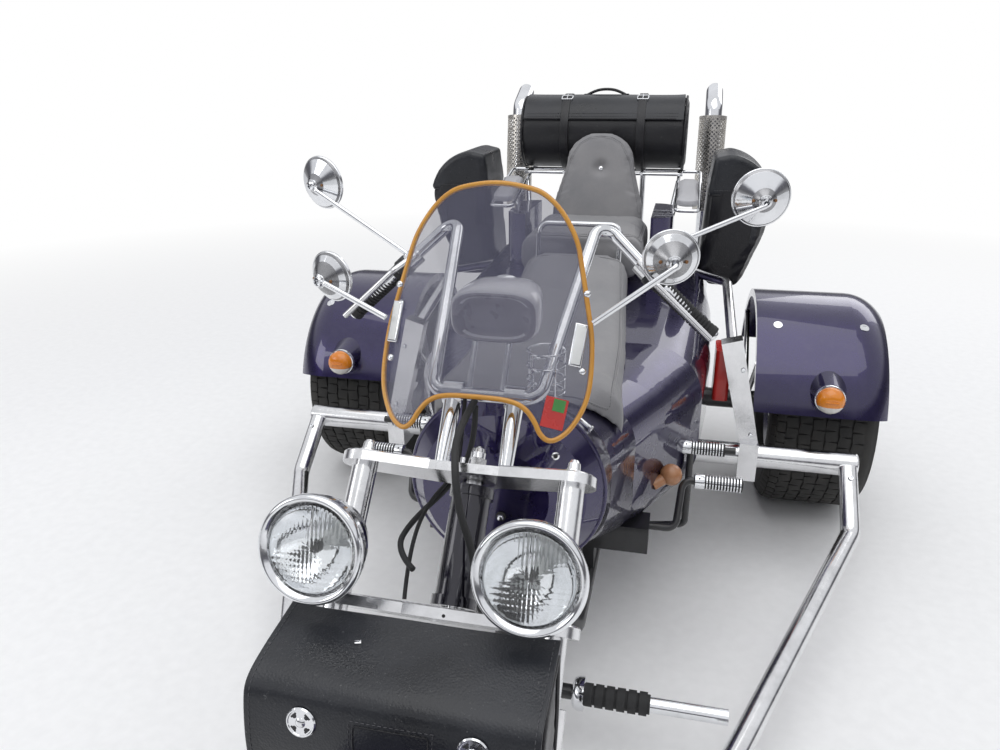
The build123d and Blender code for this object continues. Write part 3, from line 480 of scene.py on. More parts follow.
# padded pieces: the CAD solid's own shape, remeshed, blown up as cloth and capped
padFacts = {  # node: piece, body, finish, voxel, shrink, cap on the swelling, fill, rounds of easing
    "driver_saddle": ("driverSaddle", "chassis", "grey_leather", 0.010, 0.003, 0.009, 0.85, 6),
    "passenger_seat": ("passengerCushion", "chassis", "grey_leather", 0.0085, 0.004, 0.012, 0.8, 6),
    "backrest": ("backrestCushion", "chassis", "grey_leather", 0.008, 0.004, 0.012, 0.8, 6),
    "armrest_pads": ("armrestCushions", "chassis", "pale_leather", 0.0055, 0.002, 0.005, 0.9, 4),
    "fork_bag": ("forkBag", "steering", "black_leather", 0.0075, 0.005, 0.006, 0.7, 3),
    "roll_bag": ("rollBag", "chassis", "black_leather", 0.009, 0.003, 0.006, 0.85, 3),
    "saddlebags": ("saddlebagBodies", "chassis", "black_leather", 0.010, 0.004, 0.008, 0.75, 4),
}
cloth = {"pressure": 4.0, "quality": 4, "frames": 20, "quickShare": 0.6, "weld": 0.0002}


def copyNode(nodeName, name):  # an editable copy of a CAD node, its loose triangles merged
    piece = bpy.data.objects.new(name, nodes[nodeName].data.copy())
    bpy.context.collection.objects.link(piece)
    piece.data.materials.clear()
    editPiece(piece)
    bpy.ops.mesh.remove_doubles(threshold=cloth["weld"])
    return piece


def blowUp(piece):  # where each corner goes under pressure
    puff = addModifier(piece, "CLOTH")
    puff.settings.use_pressure = True
    puff.settings.uniform_pressure_force = cloth["pressure"]
    puff.settings.effector_weights.gravity = 0
    puff.settings.quality = cloth["quality"]
    puff.point_cache.frame_start = 1
    puff.point_cache.frame_end = cloth["frames"]
    for frameNumber in range(1, cloth["frames"] + 1):
        bpy.context.scene.frame_set(frameNumber)
    shaped = piece.evaluated_get(bpy.context.evaluated_depsgraph_get())
    goal = [v.co.copy() for v in shaped.data.vertices]
    piece.modifiers.remove(puff)
    bpy.context.scene.frame_set(1)
    return goal


def makePad(nodeName):
    name, body, look, voxel, shrink, cap, fill, rounds = padFacts[nodeName]
    piece = copyNode(nodeName, name)
    leaveEdit()
    addModifier(piece, "REMESH", mode="VOXEL", voxel_size=voxel)
    addModifier(piece, "SMOOTH", factor=0.5, iterations=rounds)
    addModifier(piece, "DISPLACE", strength=-shrink, mid_level=0)
    applyAll(piece)
    rest = [v.co.copy() for v in piece.data.vertices]
    goal = blowUp(piece)
    for vertex, start, end in zip(piece.data.vertices, rest, goal):
        move = end - start
        if move.length > cap:
            move *= cap / move.length
        vertex.co = start + move
    addModifier(piece, "SUBSURF", levels=1, render_levels=1)
    finishPiece(piece, name, body, slotOf[nodeName], look, 180)
    bpy.ops.object.shade_smooth()
    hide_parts(nodeName)
    return piece


def addSeam(piece, loop, ahead, name, stitchLoop=None, closed=True, lift=0.0006, radius=0.0016):
    line = dropOn(piece, denser(loop, 0.014, closed), ahead, lift)
    finishPiece(addWire(line, radius, closed, 2), name + "Piping", "chassis", "grey_leather")
    if stitchLoop is not None:
        inner = dropOn(piece, denser(stitchLoop, 0.008, closed), ahead, 0.0004)
        addStitches(inner + inner[:closed], name + "Stitches", "chassis", "grey_leather")


saddle = makePad("driver_saddle")
passengerPad = makePad("passenger_seat")
backPad = makePad("backrest")
makePad("armrest_pads")
print("cushions padded")

# saddle and cushion: a boxing seam all round, drawn from above
seamLevel = 1.2
saddleEdge = ((-0.305, 0.196), (-0.29, 0.215), (0.0, 0.205), (0.3, 0.180), (0.455, 0.162))


def saddleLoop(inset):
    left = [(half - inset, y, seamLevel) for y, half in saddleEdge]
    return left + [(-x, y, z) for x, y, z in reversed(left)]


def roundLoop(half, low, high, corner, steps=6):  # a rounded rectangle in plan
    rows = []
    for count, (x, y) in enumerate(((1, high), (-1, high), (-1, low), (1, low))):
        centre = (x * (half - corner), y - corner if y == high else y + corner)
        for i in range(steps + 1):
            turn = math.radians(90 * (count + i / steps))
            reach = (corner * math.cos(turn), corner * math.sin(turn))
            rows.append((centre[0] + reach[0], centre[1] + reach[1], seamLevel))
    return rows


down = (0, 0, -1)
addSeam(saddle, saddleLoop(0.026), down, "saddle", saddleLoop(0.031))
cushionLoops = [roundLoop(0.178, 0.572, 0.90, 0.045), roundLoop(0.171, 0.579, 0.893, 0.040)]
addSeam(passengerPad, cushionLoops[0], down, "cushion", cushionLoops[1])

# backrest: seam round the front panel and one covered button in a dimple
back = {"tilt": 17.0, "foot": (0, 0.930, 0.800), "off": 0.12, "button": (0.004, 0.268)}
dimple = {"radius": 0.030, "deep": 0.020}
backTilt = math.radians(back["tilt"])
backFront = Vector((0, -math.cos(backTilt), math.sin(backTilt)))
backUp = Vector((0, math.sin(backTilt), math.cos(backTilt)))
backHalf = (
    (-0.150, 0.115), (-0.147, 0.145), (-0.108, 0.292), (-0.075, 0.352), (-0.040, 0.372), (0, 0.378),
)
backLoop = list(backHalf) + [(-x, v) for x, v in reversed(backHalf[:-1])]
stitchInset = {"across": 0.95, "up": 0.965, "middle": 0.2}


def onBack(x, rise):
    return Vector(back["foot"]) + Vector((x, 0, 0)) + backUp * rise + backFront * back["off"]


def pressIn(piece, place, radius, depth, ahead):  # a buttoned dimple
    for vertex in piece.data.vertices:
        way = (vertex.co - Vector(place)).length / radius
        if way < 2.5:
            vertex.co += Vector(ahead) * depth * math.exp(-way * way * 2)


addSeam(backPad, [onBack(x, v) for x, v in backLoop], -backFront, "backrest", None, False)
middle = stitchInset["middle"]
spots = [onBack(x * stitchInset["across"], middle + (v - middle) * stitchInset["up"]) for x, v in backLoop]
line = dropOn(backPad, denser(spots, 0.008), -backFront, 0.0004)
addStitches(line, "backrestStitches", "chassis", "grey_leather")
buttonSpot = dropOn(backPad, [onBack(*back["button"])], -backFront)[0]
pressIn(backPad, buttonSpot, dimple["radius"], dimple["deep"], -backFront)
buttonRows = (
    (0.008, -0.004), (0.0095, 0.001), (0.009, 0.004), (0.007, 0.006), (0.003, 0.0072), (0.0005, 0.0074),
)
button = turnPiece(buttonSpot - backFront * dimple["deep"] * 0.98, backFront, buttonRows, 20)
finishPiece(button, "backrestButton", "chassis", "chrome")
print("seat seams sewn")


# windscreen: amber edge trim, two framed plates, screws and a blank patch
screen = {"foot": (0, -0.693, 0.884), "tilt": 27.3, "bend": 0.390, "thick": 0.004, "trim": 0.0045}
screenHalf = (  # half the outline, as ways along the sheet and up it
    (0, 0.003), (0.055, 0.002), (0.082, -0.008), (0.100, -0.030), (0.108, -0.048), (0.125, -0.060),
    (0.148, -0.045), (0.165, -0.018), (0.177, 0.015), (0.180, 0.055), (0.177, 0.114), (0.167, 0.160),
    (0.150, 0.235), (0.140, 0.276), (0.113, 0.320), (0.085, 0.345), (0.060, 0.355), (0, 0.363),
)
screenTilt = math.radians(screen["tilt"])
screenUp = Vector((0, math.sin(screenTilt), math.cos(screenTilt)))
screenOut = Vector((0, -math.cos(screenTilt), math.sin(screenTilt)))


def onScreen(u, v, lift=0.0):  # a frame on the bent sheet: x along the sheet, y up it, z out of it
    bend = screen["bend"]
    turn = math.asin(u / bend)
    normal = Vector((math.sin(turn), 0, 0)) + screenOut * math.cos(turn)
    sunk = screenOut * (bend - bend * math.cos(turn))
    place = Vector(screen["foot"]) + Vector((u, 0, 0)) + screenUp * v - sunk
    rows = Matrix((screenUp.cross(normal), screenUp, normal)).transposed().to_4x4()
    return Matrix.Translation(place + normal * lift) @ rows


def addOnScreen(u, v, lift, size, lean, bevel, segments):
    spot = onScreen(u, v, lift) @ Matrix.Rotation(math.radians(lean), 4, "Z")
    return addBlock(spot.to_translation(), size, spot.to_euler(), bevel, segments)


rim = list(screenHalf) + [(-u, v) for u, v in reversed(screenHalf[1:-1])]
trimLine = [onScreen(u, v, -screen["thick"] / 2).to_translation() for u, v in rim]
finishPiece(addWire(trimLine, screen["trim"], True), "screenTrim", "steering", "amber", "amber_trim")
plate = {"lean": -5.0, "frame": (0.022, 0.072, 0.005), "face": (0.015, 0.064, 0.0022)}
for side, (u, v) in {"left": (0.1545, 0.102), "right": (-0.1615, 0.1225)}.items():
    frameRim = addOnScreen(u, v, 0.002, plate["frame"], plate["lean"], 0.0022, 3)
    finishPiece(frameRim, side + "PlateFrame", "steering", "chrome")
    # the chrome plate's face is painted white: a painted reflection of the bright sky
    face = addOnScreen(u, v, 0.0045, plate["face"], plate["lean"], 0.0008, 2)
    finishPiece(face, side + "PlateFace", "steering", "chrome", "white_bulbs_and_painted_reflection")
screwRows = ((0.0060, 0), (0.0062, 0.0020), (0.0052, 0.0042), (0.0030, 0.0054), (0.0004, 0.0058))
heads = []
for u, v in ((0.165015, 0.060), (0.16212, 0.188)):
    for side in (-1, 1):
        spot = onScreen(side * u, v, -0.001)
        heads.append(turnPiece(spot.to_translation(), spot.col[2].xyz, screwRows, 18))
finishPiece(joinPieces(heads), "screenScrews", "steering", "chrome")
patchLean = -8.0
patchBase = addOnScreen(0.1280, -0.0120, 0.0005, (0.038, 0.050, 0.0008), patchLean, 0.0003, 1)
finishPiece(patchBase, "screenPatch", "steering", "red_plastic")
patchMark = addOnScreen(0.1340, 0.0005, 0.0012, (0.020, 0.020, 0.0006), patchLean, 0.0002, 1)
finishPiece(patchMark, "screenPatchMark", "steering", "red_plastic", "green_patch")
print("windscreen trimmed")


# bags: padded bodies, leather flaps laid over them, edge piping and stitches
def layFlap(profile, low, high, name, body, sag, across=26, thick=0.0035):  # a sheet along (y, z) rows
    run = smoothRun(profile)
    line = [run[0]] + [place for place, ahead in walkAlong(run, runLength(run) / 30)] + [run[-1]]
    last = len(line) - 1
    pickOnly()
    bpy.ops.mesh.primitive_grid_add(x_subdivisions=across, y_subdivisions=last, size=1)
    flap = bpy.context.object
    for vertex in flap.data.vertices:
        way = vertex.co.x + 0.5
        step = round((vertex.co.y + 0.5) * last)
        ahead = (line[min(step + 1, last)] - line[max(step - 1, 0)]).normalized()
        wave = sag * (math.sin(way * 11 + step * 0.31) * 0.5 + math.sin(way * 4.3 - step * 0.17))
        edge = min(way, 1 - way) * (high - low)
        drop = sag * 1.5 * math.exp(-edge / 0.012)
        spot = line[step] + Vector((-ahead.y, ahead.x)) * (wave - drop)
        vertex.co = (low + (high - low) * way, spot.x, spot.y)
    addModifier(flap, "SOLIDIFY", thickness=thick, offset=0)
    addModifier(flap, "BEVEL", width=thick * 0.35, segments=2, limit_method="ANGLE")
    addModifier(flap, "SUBSURF", levels=1, render_levels=1)
    applyAll(flap)
    editPiece(flap)
    leaveEdit()
    return finishPiece(flap, name, body, "black_leather", "bag_sheen", 50), line


bag = {
    "half": 0.193, "top": (
        (-0.990, 0.6745), (-1.060, 0.6660), (-1.119, 0.6560), (-1.131, 0.6420), (-1.143, 0.590),
        (-1.143, 0.552),
    ),
    "seam": 0.1855, "from": (0, -0.3, 0.35), "coarse": (0.0052, 0.0030, 0.0007), "ahead": -1.3,
}
makePad("fork_bag")
bagFlap, bagRun = layFlap(bag["top"], -bag["half"], bag["half"], "forkBagFlap", "steering", 0.0015)
for side, edge in (("right", -bag["seam"]), ("left", bag["seam"])):
    near = [Vector((edge, p.x, p.y)) + Vector(bag["from"]) for p in bagRun]
    line = dropOn(bagFlap, denser(near, 0.01), -Vector(bag["from"]), 0.0004)
    addStitches(line, side + "BagStitches", "steering", "black_leather", *bag["coarse"])


def onFlap(corners, step, lift):  # places on the flap's front under a run of (x, z) corners
    return dropOn(bagFlap, denser([(x, bag["ahead"], z) for x, z in corners], step), (0, 1, 0), lift)


panel = ((-0.048, 0.5555), (-0.048, 0.632), (0.060, 0.632), (0.060, 0.5555))
for count, ends in enumerate(zip(panel, panel[1:])):
    line = onFlap(ends, 0.006, 0.0005)
    addStitches(line, "panelStitches%d" % count, "steering", "black_leather", 0.0046, 0.0028)
crease = onFlap(((-0.0425, 0.5555), (-0.0425, 0.6265), (0.0545, 0.6265), (0.0545, 0.5555)), 0.008, 0.0006)
finishPiece(addWire(crease, 0.0011, False, 2), "panelCreasing", "steering", "black_leather")


def addConcho(spot, axis, radius, name, body):  # a round stud: rim, boss and four dark piercings
    ahead = Vector(axis).normalized()
    rows = (
        (1, 0), (1.02, 0.0016), (0.94, 0.0034), (0.86, 0.0034), (0.82, 0.0024),
        (0.34, 0.0026), (0.26, 0.0042), (0.12, 0.0050), (0.02, 0.0052),
    )
    finishPiece(turnPiece(spot, ahead, [(radius * r, h) for r, h in rows], 40), name, body, "chrome")
    around = ahead.to_track_quat("Z", "Y")
    pinRows = ((radius * 0.15, 0), (radius * 0.15, 0.0008), (radius * 0.10, 0.0009))
    slotSize = (radius * 0.14, radius * 0.46, 0.0008)
    holes = []
    for i in range(4):
        turn = around @ Matrix.Rotation(math.radians(45 + 90 * i), 3, "Z").to_quaternion()
        holes.append(turnPiece(Vector(spot) + turn @ Vector((radius * 0.58, 0, 0.0021)), ahead, pinRows, 14))
        slotSpot = Vector(spot) + turn @ Vector((radius * 0.66, 0, 0.0025))
        holes.append(addBlock(slotSpot, slotSize, turn.to_euler(), 0.0003, 1))
    finishPiece(joinPieces(holes), name + "Piercings", body, "black_plastic")


for side, corner in {"right": (-0.1121, 0.6180), "left": (0.1118, 0.6195)}.items():
    spot = dropOn(bagFlap, [(corner[0], bag["ahead"], corner[1])], (0, 1, 0))[0]
    addConcho(spot + Vector((0, -0.0005, 0)), (0, -0.975, 0.22), 0.0200, side + "Concho", "steering")
clipPixel = (358, 643)
clip, clipNormal = landPixel(bagFlap, *clipPixel)
clipTurn = clipNormal.to_track_quat("Z", "Y").to_euler()
clipBlock = addBlock(clip + clipNormal * 0.0012, (0.009, 0.006, 0.003), clipTurn, 0.0008, 2)
finishPiece(clipBlock, "bagClip", "steering", "chrome")
gusset = (
    (-1.004, 0.664), (-1.112, 0.646), (-1.131, 0.560), (-1.085, 0.527), (-1.030, 0.502), (-1.006, 0.565),
)
for side, x in (("right", -0.1915), ("left", 0.1915)):
    loop = smoothRun([(x, y, z) for y, z in gusset + gusset[:1]], 2)
    finishPiece(addWire(loop, 0.0030, False, 2), side + "BagPiping", "steering", "black_leather")
print("fork bag dressed")

roll = {"centre": (1.222, 1.160), "radius": 0.126, "straps": (-0.142, 0.129), "wide": 0.030, "buckle": 66}
rollY, rollZ = roll["centre"]
makePad("roll_bag")
for side, x in (("right", -0.299), ("left", 0.283)):
    hoop = roundRing((x, rollY, rollZ), (1, 0, 0), roll["radius"], 0.0042, 72)
    finishPiece(hoop, side + "RollPiping", "chassis", "black_leather")


def ringSpot(turn, radius):  # measured from the front, up over the top
    return (rollY - radius * math.cos(math.radians(turn)), rollZ + radius * math.sin(math.radians(turn)))


flapTurns = [172 - (172 - 23) * i / 12 for i in range(13)]
flapRows = [ringSpot(turn, 0.1315) for turn in flapTurns]
layFlap(flapRows, -0.292, 0.276, "rollBagFlap", "chassis", 0.0012, 40)
lip = [(x / 100, *ringSpot(24.5, 0.1338)) for x in range(-29, 28, 3)]
finishPiece(addWire(lip, 0.0026, False, 2), "rollFlapPiping", "chassis", "black_leather")
for level, kind in ((28.5, "Near"), (33.5, "Far")):
    line = [Vector((x / 50, *ringSpot(level, 0.1342))) for x in range(-14, 14)]
    addStitches(line, "rollStitches" + kind, "chassis", "black_leather", 0.0052, 0.0032, 0.0007)
strapRows = (
    (0.1325, 0), (0.1362, 0.0012), (0.1366, 0.004), (0.1366, 0.026), (0.1362, 0.0288), (0.1325, 0.030),
)
buckleY, buckleZ = ringSpot(roll["buckle"], 0.1372)
buckleTilt = math.radians(roll["buckle"] - 90)
buckleAlong = Vector((0, math.cos(buckleTilt), -math.sin(buckleTilt)))
for count, x in enumerate(roll["straps"]):
    band = turnPiece((x - roll["wide"] / 2, rollY, rollZ), (1, 0, 0), strapRows, 72)
    finishPiece(band, "rollStrap%d" % count, "chassis", "black_leather")
    middle = Vector((x, buckleY, buckleZ))
    corners = []
    for u, v in ((-0.019, -0.014), (0.019, -0.014), (0.019, 0.014), (-0.019, 0.014)):
        corners.append(middle + Vector((u, 0, 0)) + buckleAlong * v)
    tongue = [middle - buckleAlong * 0.014, middle + buckleAlong * 0.015 + Vector((0, 0, 0.003))]
    buckle = [addWire(denser(corners, 0.010, True), 0.0019, True)]
    buckle += [addWire(corners[:2], 0.0017, False, 3, 2), addWire(tongue, 0.0014, False, 3, 2)]
    finishPiece(joinPieces(buckle), "rollBuckle%d" % count, "chassis", "chrome")
holdY, holdZ = ringSpot(92, 0.130)
carry = [(x - 0.007, holdY, holdZ + rise) for x, rise in (
    (-0.069, 0.002), (-0.050, 0.012), (-0.020, 0.021), (0.020, 0.021), (0.050, 0.012), (0.069, 0.002),
)]
finishPiece(addWire(carry, 0.0052), "rollHandle", "chassis", "black_leather")
for count, x in enumerate((-0.076, 0.062)):
    tab = addBlock((x, holdY, holdZ + 0.003), (0.024, 0.030, 0.005), (0, 0, 0), 0.0016, 2)
    finishPiece(tab, "rollHandleTab%d" % count, "chassis", "black_leather")
print("roll bag dressed")


# saddlebags: padded bodies with a padded lid over each, piping, stitches and a strap
bags = {"split": 0.986, "x": (0.379, 0.590), "y": (0.885, 1.155), "sewn": 1.004}
lids = {"out": 0.004, "voxel": 0.008, "rounds": 5}
bagBodies = makePad("saddlebags")


def makeLid(side):
    piece = copyNode("saddlebags", "lid")
    selectAll()
    bpy.ops.mesh.bisect(plane_co=(0, 0, bags["split"]), plane_no=(0, 0, 1), use_fill=True, clear_inner=True)
    selectAll()
    bpy.ops.mesh.bisect(plane_co=(0, 0, 0), plane_no=(side, 0, 0), use_fill=False, clear_inner=True)
    leaveEdit()
    addModifier(piece, "REMESH", mode="VOXEL", voxel_size=lids["voxel"])
    addModifier(piece, "SMOOTH", factor=0.5, iterations=lids["rounds"])
    addModifier(piece, "DISPLACE", strength=lids["out"], mid_level=0)
    addModifier(piece, "SUBSURF", levels=1, render_levels=1)
    return piece


def layStrap(carrier, low, high, width, name, body):  # a flat strap laid on the front of a piece
    pickOnly()
    bpy.ops.mesh.primitive_grid_add(x_subdivisions=4, y_subdivisions=24, size=1)
    strap = bpy.context.object
    for vertex in strap.data.vertices:
        spot = Vector(low).lerp(Vector(high), vertex.co.y + 0.5) + Vector((vertex.co.x * width, 0, 0))
        vertex.co = dropOn(carrier, [spot], (0, 1, 0), 0.0012)[0]
    addModifier(strap, "SOLIDIFY", thickness=0.0018, offset=0)
    return finishPiece(strap, name, body, "black_leather", "bag_sheen", 40)


for side, word in ((-1, "right"), (1, "left")):
    lid = finishPiece(makeLid(side), word + "SaddlebagLid", "chassis", "black_leather", "bag_sheen", 180)
    innerX, outerX = (v * side for v in bags["x"])
    middle = Vector(((innerX + outerX) / 2, sum(bags["y"]) / 2, bags["split"] + 0.002))
    loop = []
    for i in range(64):
        out = Vector((math.cos(2 * math.pi * i / 64), math.sin(2 * math.pi * i / 64), 0))
        loop += dropOn(lid, [middle + out * 0.4], -out, 0.0002)
    finishPiece(addWire(loop, 0.0032, True, 2), word + "LidPiping", "chassis", "black_leather")
    sewn = [(innerX + side * 0.012, 0.6, bags["sewn"]), (outerX - side * 0.020, 0.6, bags["sewn"])]
    line = dropOn(lid, denser(sewn, 0.008), (0, 1, 0), 0.0006)
    addStitches(line, word + "LidStitches", "chassis", "black_leather", 0.0050, 0.0030, 0.0007)
strapEnds = ((0.528, 0.6, 0.835), (0.536, 0.6, 0.960))
for side, word in ((1, "left"), (-1, "right")):
    low, high = [(side * x, y, z) for x, y, z in strapEnds]
    layStrap(bagBodies, low, high, 0.016, word + "SaddlebagStrap", "chassis")
print("saddlebags dressed")


# control hoses: the three routes of the CAD part, as smooth lines
hoses = {
    "throttleHose": (0.006, (
        (-0.014, -0.645, 0.858), (-0.020, -0.735, 0.842), (-0.002, -0.812, 0.822),
        (0.010, -0.836, 0.760), (0.034, -0.842, 0.690), (0.056, -0.880, 0.610),
    )),
    "brakeHose": (0.0035, (
        (-0.030, -0.645, 0.868), (-0.036, -0.650, 0.800), (-0.042, -0.664, 0.730),
        (-0.084, -0.720, 0.690), (-0.092, -0.790, 0.640), (-0.084, -0.842, 0.588),
    )),
    "clutchHose": (0.005, (
        (-0.012, -0.648, 0.850), (-0.014, -0.648, 0.780), (-0.046, -0.668, 0.712),
        (-0.104, -0.740, 0.668), (-0.112, -0.800, 0.650), (-0.070, -0.832, 0.640),
    )),
}
hoseCurve = {"roundness": 5, "steps": 24, "order": 3, "closed": False}
for name, (radius, route) in hoses.items():
    probe = startCurve("probe", route, 0, **hoseCurve)
    probe.data.use_fill_caps = False
    length = round(runLength([v.co for v in bpy.data.meshes.new_from_object(probe).vertices]), 4)
    bpy.data.objects.remove(probe)
    hose = startCurve(name, route, radius, **hoseCurve)
    hose.data.materials.append(finish["rubber"])
    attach(hose, "steering")
    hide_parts("control_hoses")
    print(name, "length", length)
print("hoses laid")


# headlamps: bezel ring, fluted glass, reflector and bulb
lamp = {"half": 0.151, "place": (-1.006, 0.777), "tilt": 17.0, "glass": 0.0615, "back": -0.0105}
fluting = {"pitch": 0.0058, "deep": 0.0019, "bead": 0.0078, "from": 0.022, "blend": 0.020, "edge": 0.004}
lampTilt = math.radians(lamp["tilt"])
lampOut = Vector((0, -math.cos(lampTilt), math.sin(lampTilt)))
lampUp = Vector((0, math.sin(lampTilt), math.cos(lampTilt)))
bezelRows = (
    (0.0764, -0.0130), (0.0768, -0.0060), (0.0756, -0.0010), (0.0730, 0.0016), (0.0705, 0.0018),
    (0.0680, 0.0004), (0.0640, -0.0044), (0.0622, -0.0070), (0.0620, -0.0095), (0.0680, -0.0100),
    (0.0740, -0.0120),
)
glassRows = [(0.0008, -0.0115)] + [(lamp["glass"] * i / 22, -0.0115) for i in range(1, 23)]
for i in range(15):
    turn = math.radians(6 * i)
    glassRows.append((lamp["glass"] * math.cos(turn), -0.0072 + 0.0112 * math.sin(turn)))
glassRows.append((0.0008, 0.0040))
bowlRows = [(lamp["glass"] * i / 16, -0.062 + 0.046 * (i / 16) ** 2) for i in range(16, 2, -1)]
bulbRows = (
    (0.0125, -0.060), (0.0125, -0.054), (0.0080, -0.050), (0.0080, -0.036), (0.0068, -0.031),
    (0.0035, -0.028), (0.0006, -0.027),
)
shieldRows = ((0.0085, -0.034), (0.0088, -0.026), (0.0070, -0.0225), (0.0030, -0.0215), (0.0006, -0.0212))


def flute(piece, centre):  # ribs on the upper back face, small lenses below
    applyAll(piece)
    for vertex in piece.data.vertices:
        offset = vertex.co - centre
        if offset.dot(lampOut) > lamp["back"]:
            continue
        side, rise = offset.x, offset.dot(lampUp)
        ribs = abs(math.sin(math.pi * side / fluting["pitch"])) * fluting["deep"]
        beads = math.cos(math.pi * rise / fluting["bead"]) ** 2 * ribs
        share = min(1.0, max(0.0, (rise + fluting["from"]) / fluting["blend"]))
        edge = min(1.0, max(0.0, (lamp["glass"] - math.hypot(side, rise)) / fluting["edge"]))
        vertex.co -= lampOut * (ribs * share + beads * (1 - share)) * edge
    return piece


centres = [Vector((side * lamp["half"], *lamp["place"])) for side in (-1, 1)]
bezels = [turnRing(centre, lampOut, bezelRows, 80) for centre in centres]
finishPiece(joinPieces(bezels), "lampBezels", "steering", "chrome", None, 60)
glasses = [flute(turnPiece(centre, lampOut, glassRows, 168), centre) for centre in centres]
lensPair = finishPiece(joinPieces(glasses), "lampGlass", "steering", "clear_glass", None, 60)
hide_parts("lamp_lenses")
bowls = [turnRing(centre, lampOut, bowlRows, 64, False) for centre in centres]
finishPiece(joinPieces(bowls), "lampReflectors", "steering", "chrome", "reflector", 60)
bulbParts = (("lampBulbs", bulbRows, "white_bulbs_and_painted_reflection"), ("bulbShields", shieldRows, "frame_black"))
for name, rows, look in bulbParts:
    pair = [turnPiece(centre, lampOut, rows, 24) for centre in centres]
    finishPiece(joinPieces(pair), name, "steering", "chrome", look)
print("headlamps glazed")


# instrument pod: one smooth shell with a recessed front, a gauge on the rider's side; the shell is painted
# near-white as a painted highlight, the forward-facing front darker grey as painted shade
pod = {"front": (0.004, -0.580, 0.985), "halves": (0.079, 0.0465), "square": 0.60}
podLean = 0.010 / 0.114
podRows = (
    (0.002, 0.006), (0.40, 0.006), (0.74, 0.005), (0.80, 0.001), (0.86, -0.001),
    (0.93, 0.001), (0.985, 0.007), (1.0, 0.016), (0.995, 0.035), (0.96, 0.060),
    (0.90, 0.085), (0.83, 0.102), (0.74, 0.110), (0.55, 0.113), (0.002, 0.114),
)
shell = turnPiece((0, 0, 0), (0, 1, 0), podRows, 72)
applyAll(shell)
for vertex in shell.data.vertices:
    reach = math.hypot(vertex.co.x, vertex.co.z)
    turn = math.atan2(vertex.co.z, vertex.co.x)
    for part, half, use in zip("xz", pod["halves"], (math.cos(turn), math.sin(turn))):
        setattr(vertex.co, part, half * reach * math.copysign(abs(use) ** pod["square"], use))
    vertex.co += Vector(pod["front"]) + Vector((0, 0, podLean * vertex.co.y))
podShell = finishPiece(shell, "podShell", "steering", "chrome", "pod_painted_highlight", 55)
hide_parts("instrument_pod")
# forward-facing faces at the front take the darker grey: painted shade
podShell.data.materials.append(finish["pod_front"])
for face in podShell.data.polygons:
    if face.normal.y < -0.75 and face.center.y < pod["front"][1] + 0.012:
        face.material_index = 1
gauge = {"place": (0.004, -0.470, 0.999), "axis": (0, 0.94, 0.34), "up": (0, -0.34, 0.94), "lean": 20}
gaugeRing = (
    (0.036, -0.014), (0.0385, -0.010), (0.0385, 0.004), (0.0365, 0.0065), (0.0340, 0.0060),
    (0.0330, 0.0020), (0.0330, -0.014),
)
gaugeRows = {
    "gaugeFace": ("black_plastic", ((0.0335, -0.014), (0.0335, -0.001), (0.0325, 0.0), (0.0006, 0.0))),
    "gaugeGlass": ("clear_glass", ((0.0333, 0.0030), (0.0333, 0.0038), (0.0200, 0.0046), (0.0006, 0.0050))),
}
finishPiece(turnRing(gauge["place"], gauge["axis"], gaugeRing, 56), "gaugeRing", "steering", "chrome")
for name, (slotName, rows) in gaugeRows.items():
    finishPiece(turnPiece(gauge["place"], gauge["axis"], rows, 48), name, "steering", slotName)
needleSpot = Vector(gauge["place"]) + Vector(gauge["axis"]) * 0.0012 + Vector(gauge["up"]) * 0.009
needle = addBlock(needleSpot, (0.0016, 0.0010, 0.024), (math.radians(gauge["lean"]), 0, 0), 0.0003, 1)
finishPiece(needle, "gaugeNeedle", "steering", "amber")
armRun = ((0.030, -0.6275, 0.861), (0.030, -0.600, 0.905), (0.030, -0.555, 0.960))
podArms = [addWire([(side * x, y, z) for x, y, z in armRun], 0.006) for side in (-1, 1)]
finishPiece(joinPieces(podArms), "podArms", "steering", "chrome")

# wire cup holder on the left riser
cup = {"centre": (0.093, -0.560), "levels": (0.851, 0.876, 0.901, 0.927), "radius": 0.033}
cupWire = {"hoop": 0.0019, "rod": 0.0016}
cupFoot = Vector((*cup["centre"], cup["levels"][0]))
cupTop = Vector((*cup["centre"], cup["levels"][-1]))
wires = []
for level in cup["levels"]:
    wires.append(roundRing((*cup["centre"], level), (0, 0, 1), cup["radius"], cupWire["hoop"], 48, 8))
reaches = []
for i in range(5):
    turn = math.radians(20 + 72 * i)
    reaches.append(Vector((math.cos(turn), math.sin(turn), 0)) * cup["radius"])
wires += [addWire([cupTop + reach, cupFoot + reach], cupWire["rod"], False, 2, 2) for reach in reaches]
wires += [addWire([cupFoot - reach, cupFoot + reach], cupWire["rod"], False, 2, 2) for reach in reaches[:2]]
wires.append(addWire([(0.075, -0.588, 0.876), (0.066, -0.606, 0.868), (0.056, -0.629, 0.860)], 0.0045))
finishPiece(joinPieces(wires), "cupHolder", "steering", "chrome")
print("instruments fitted")


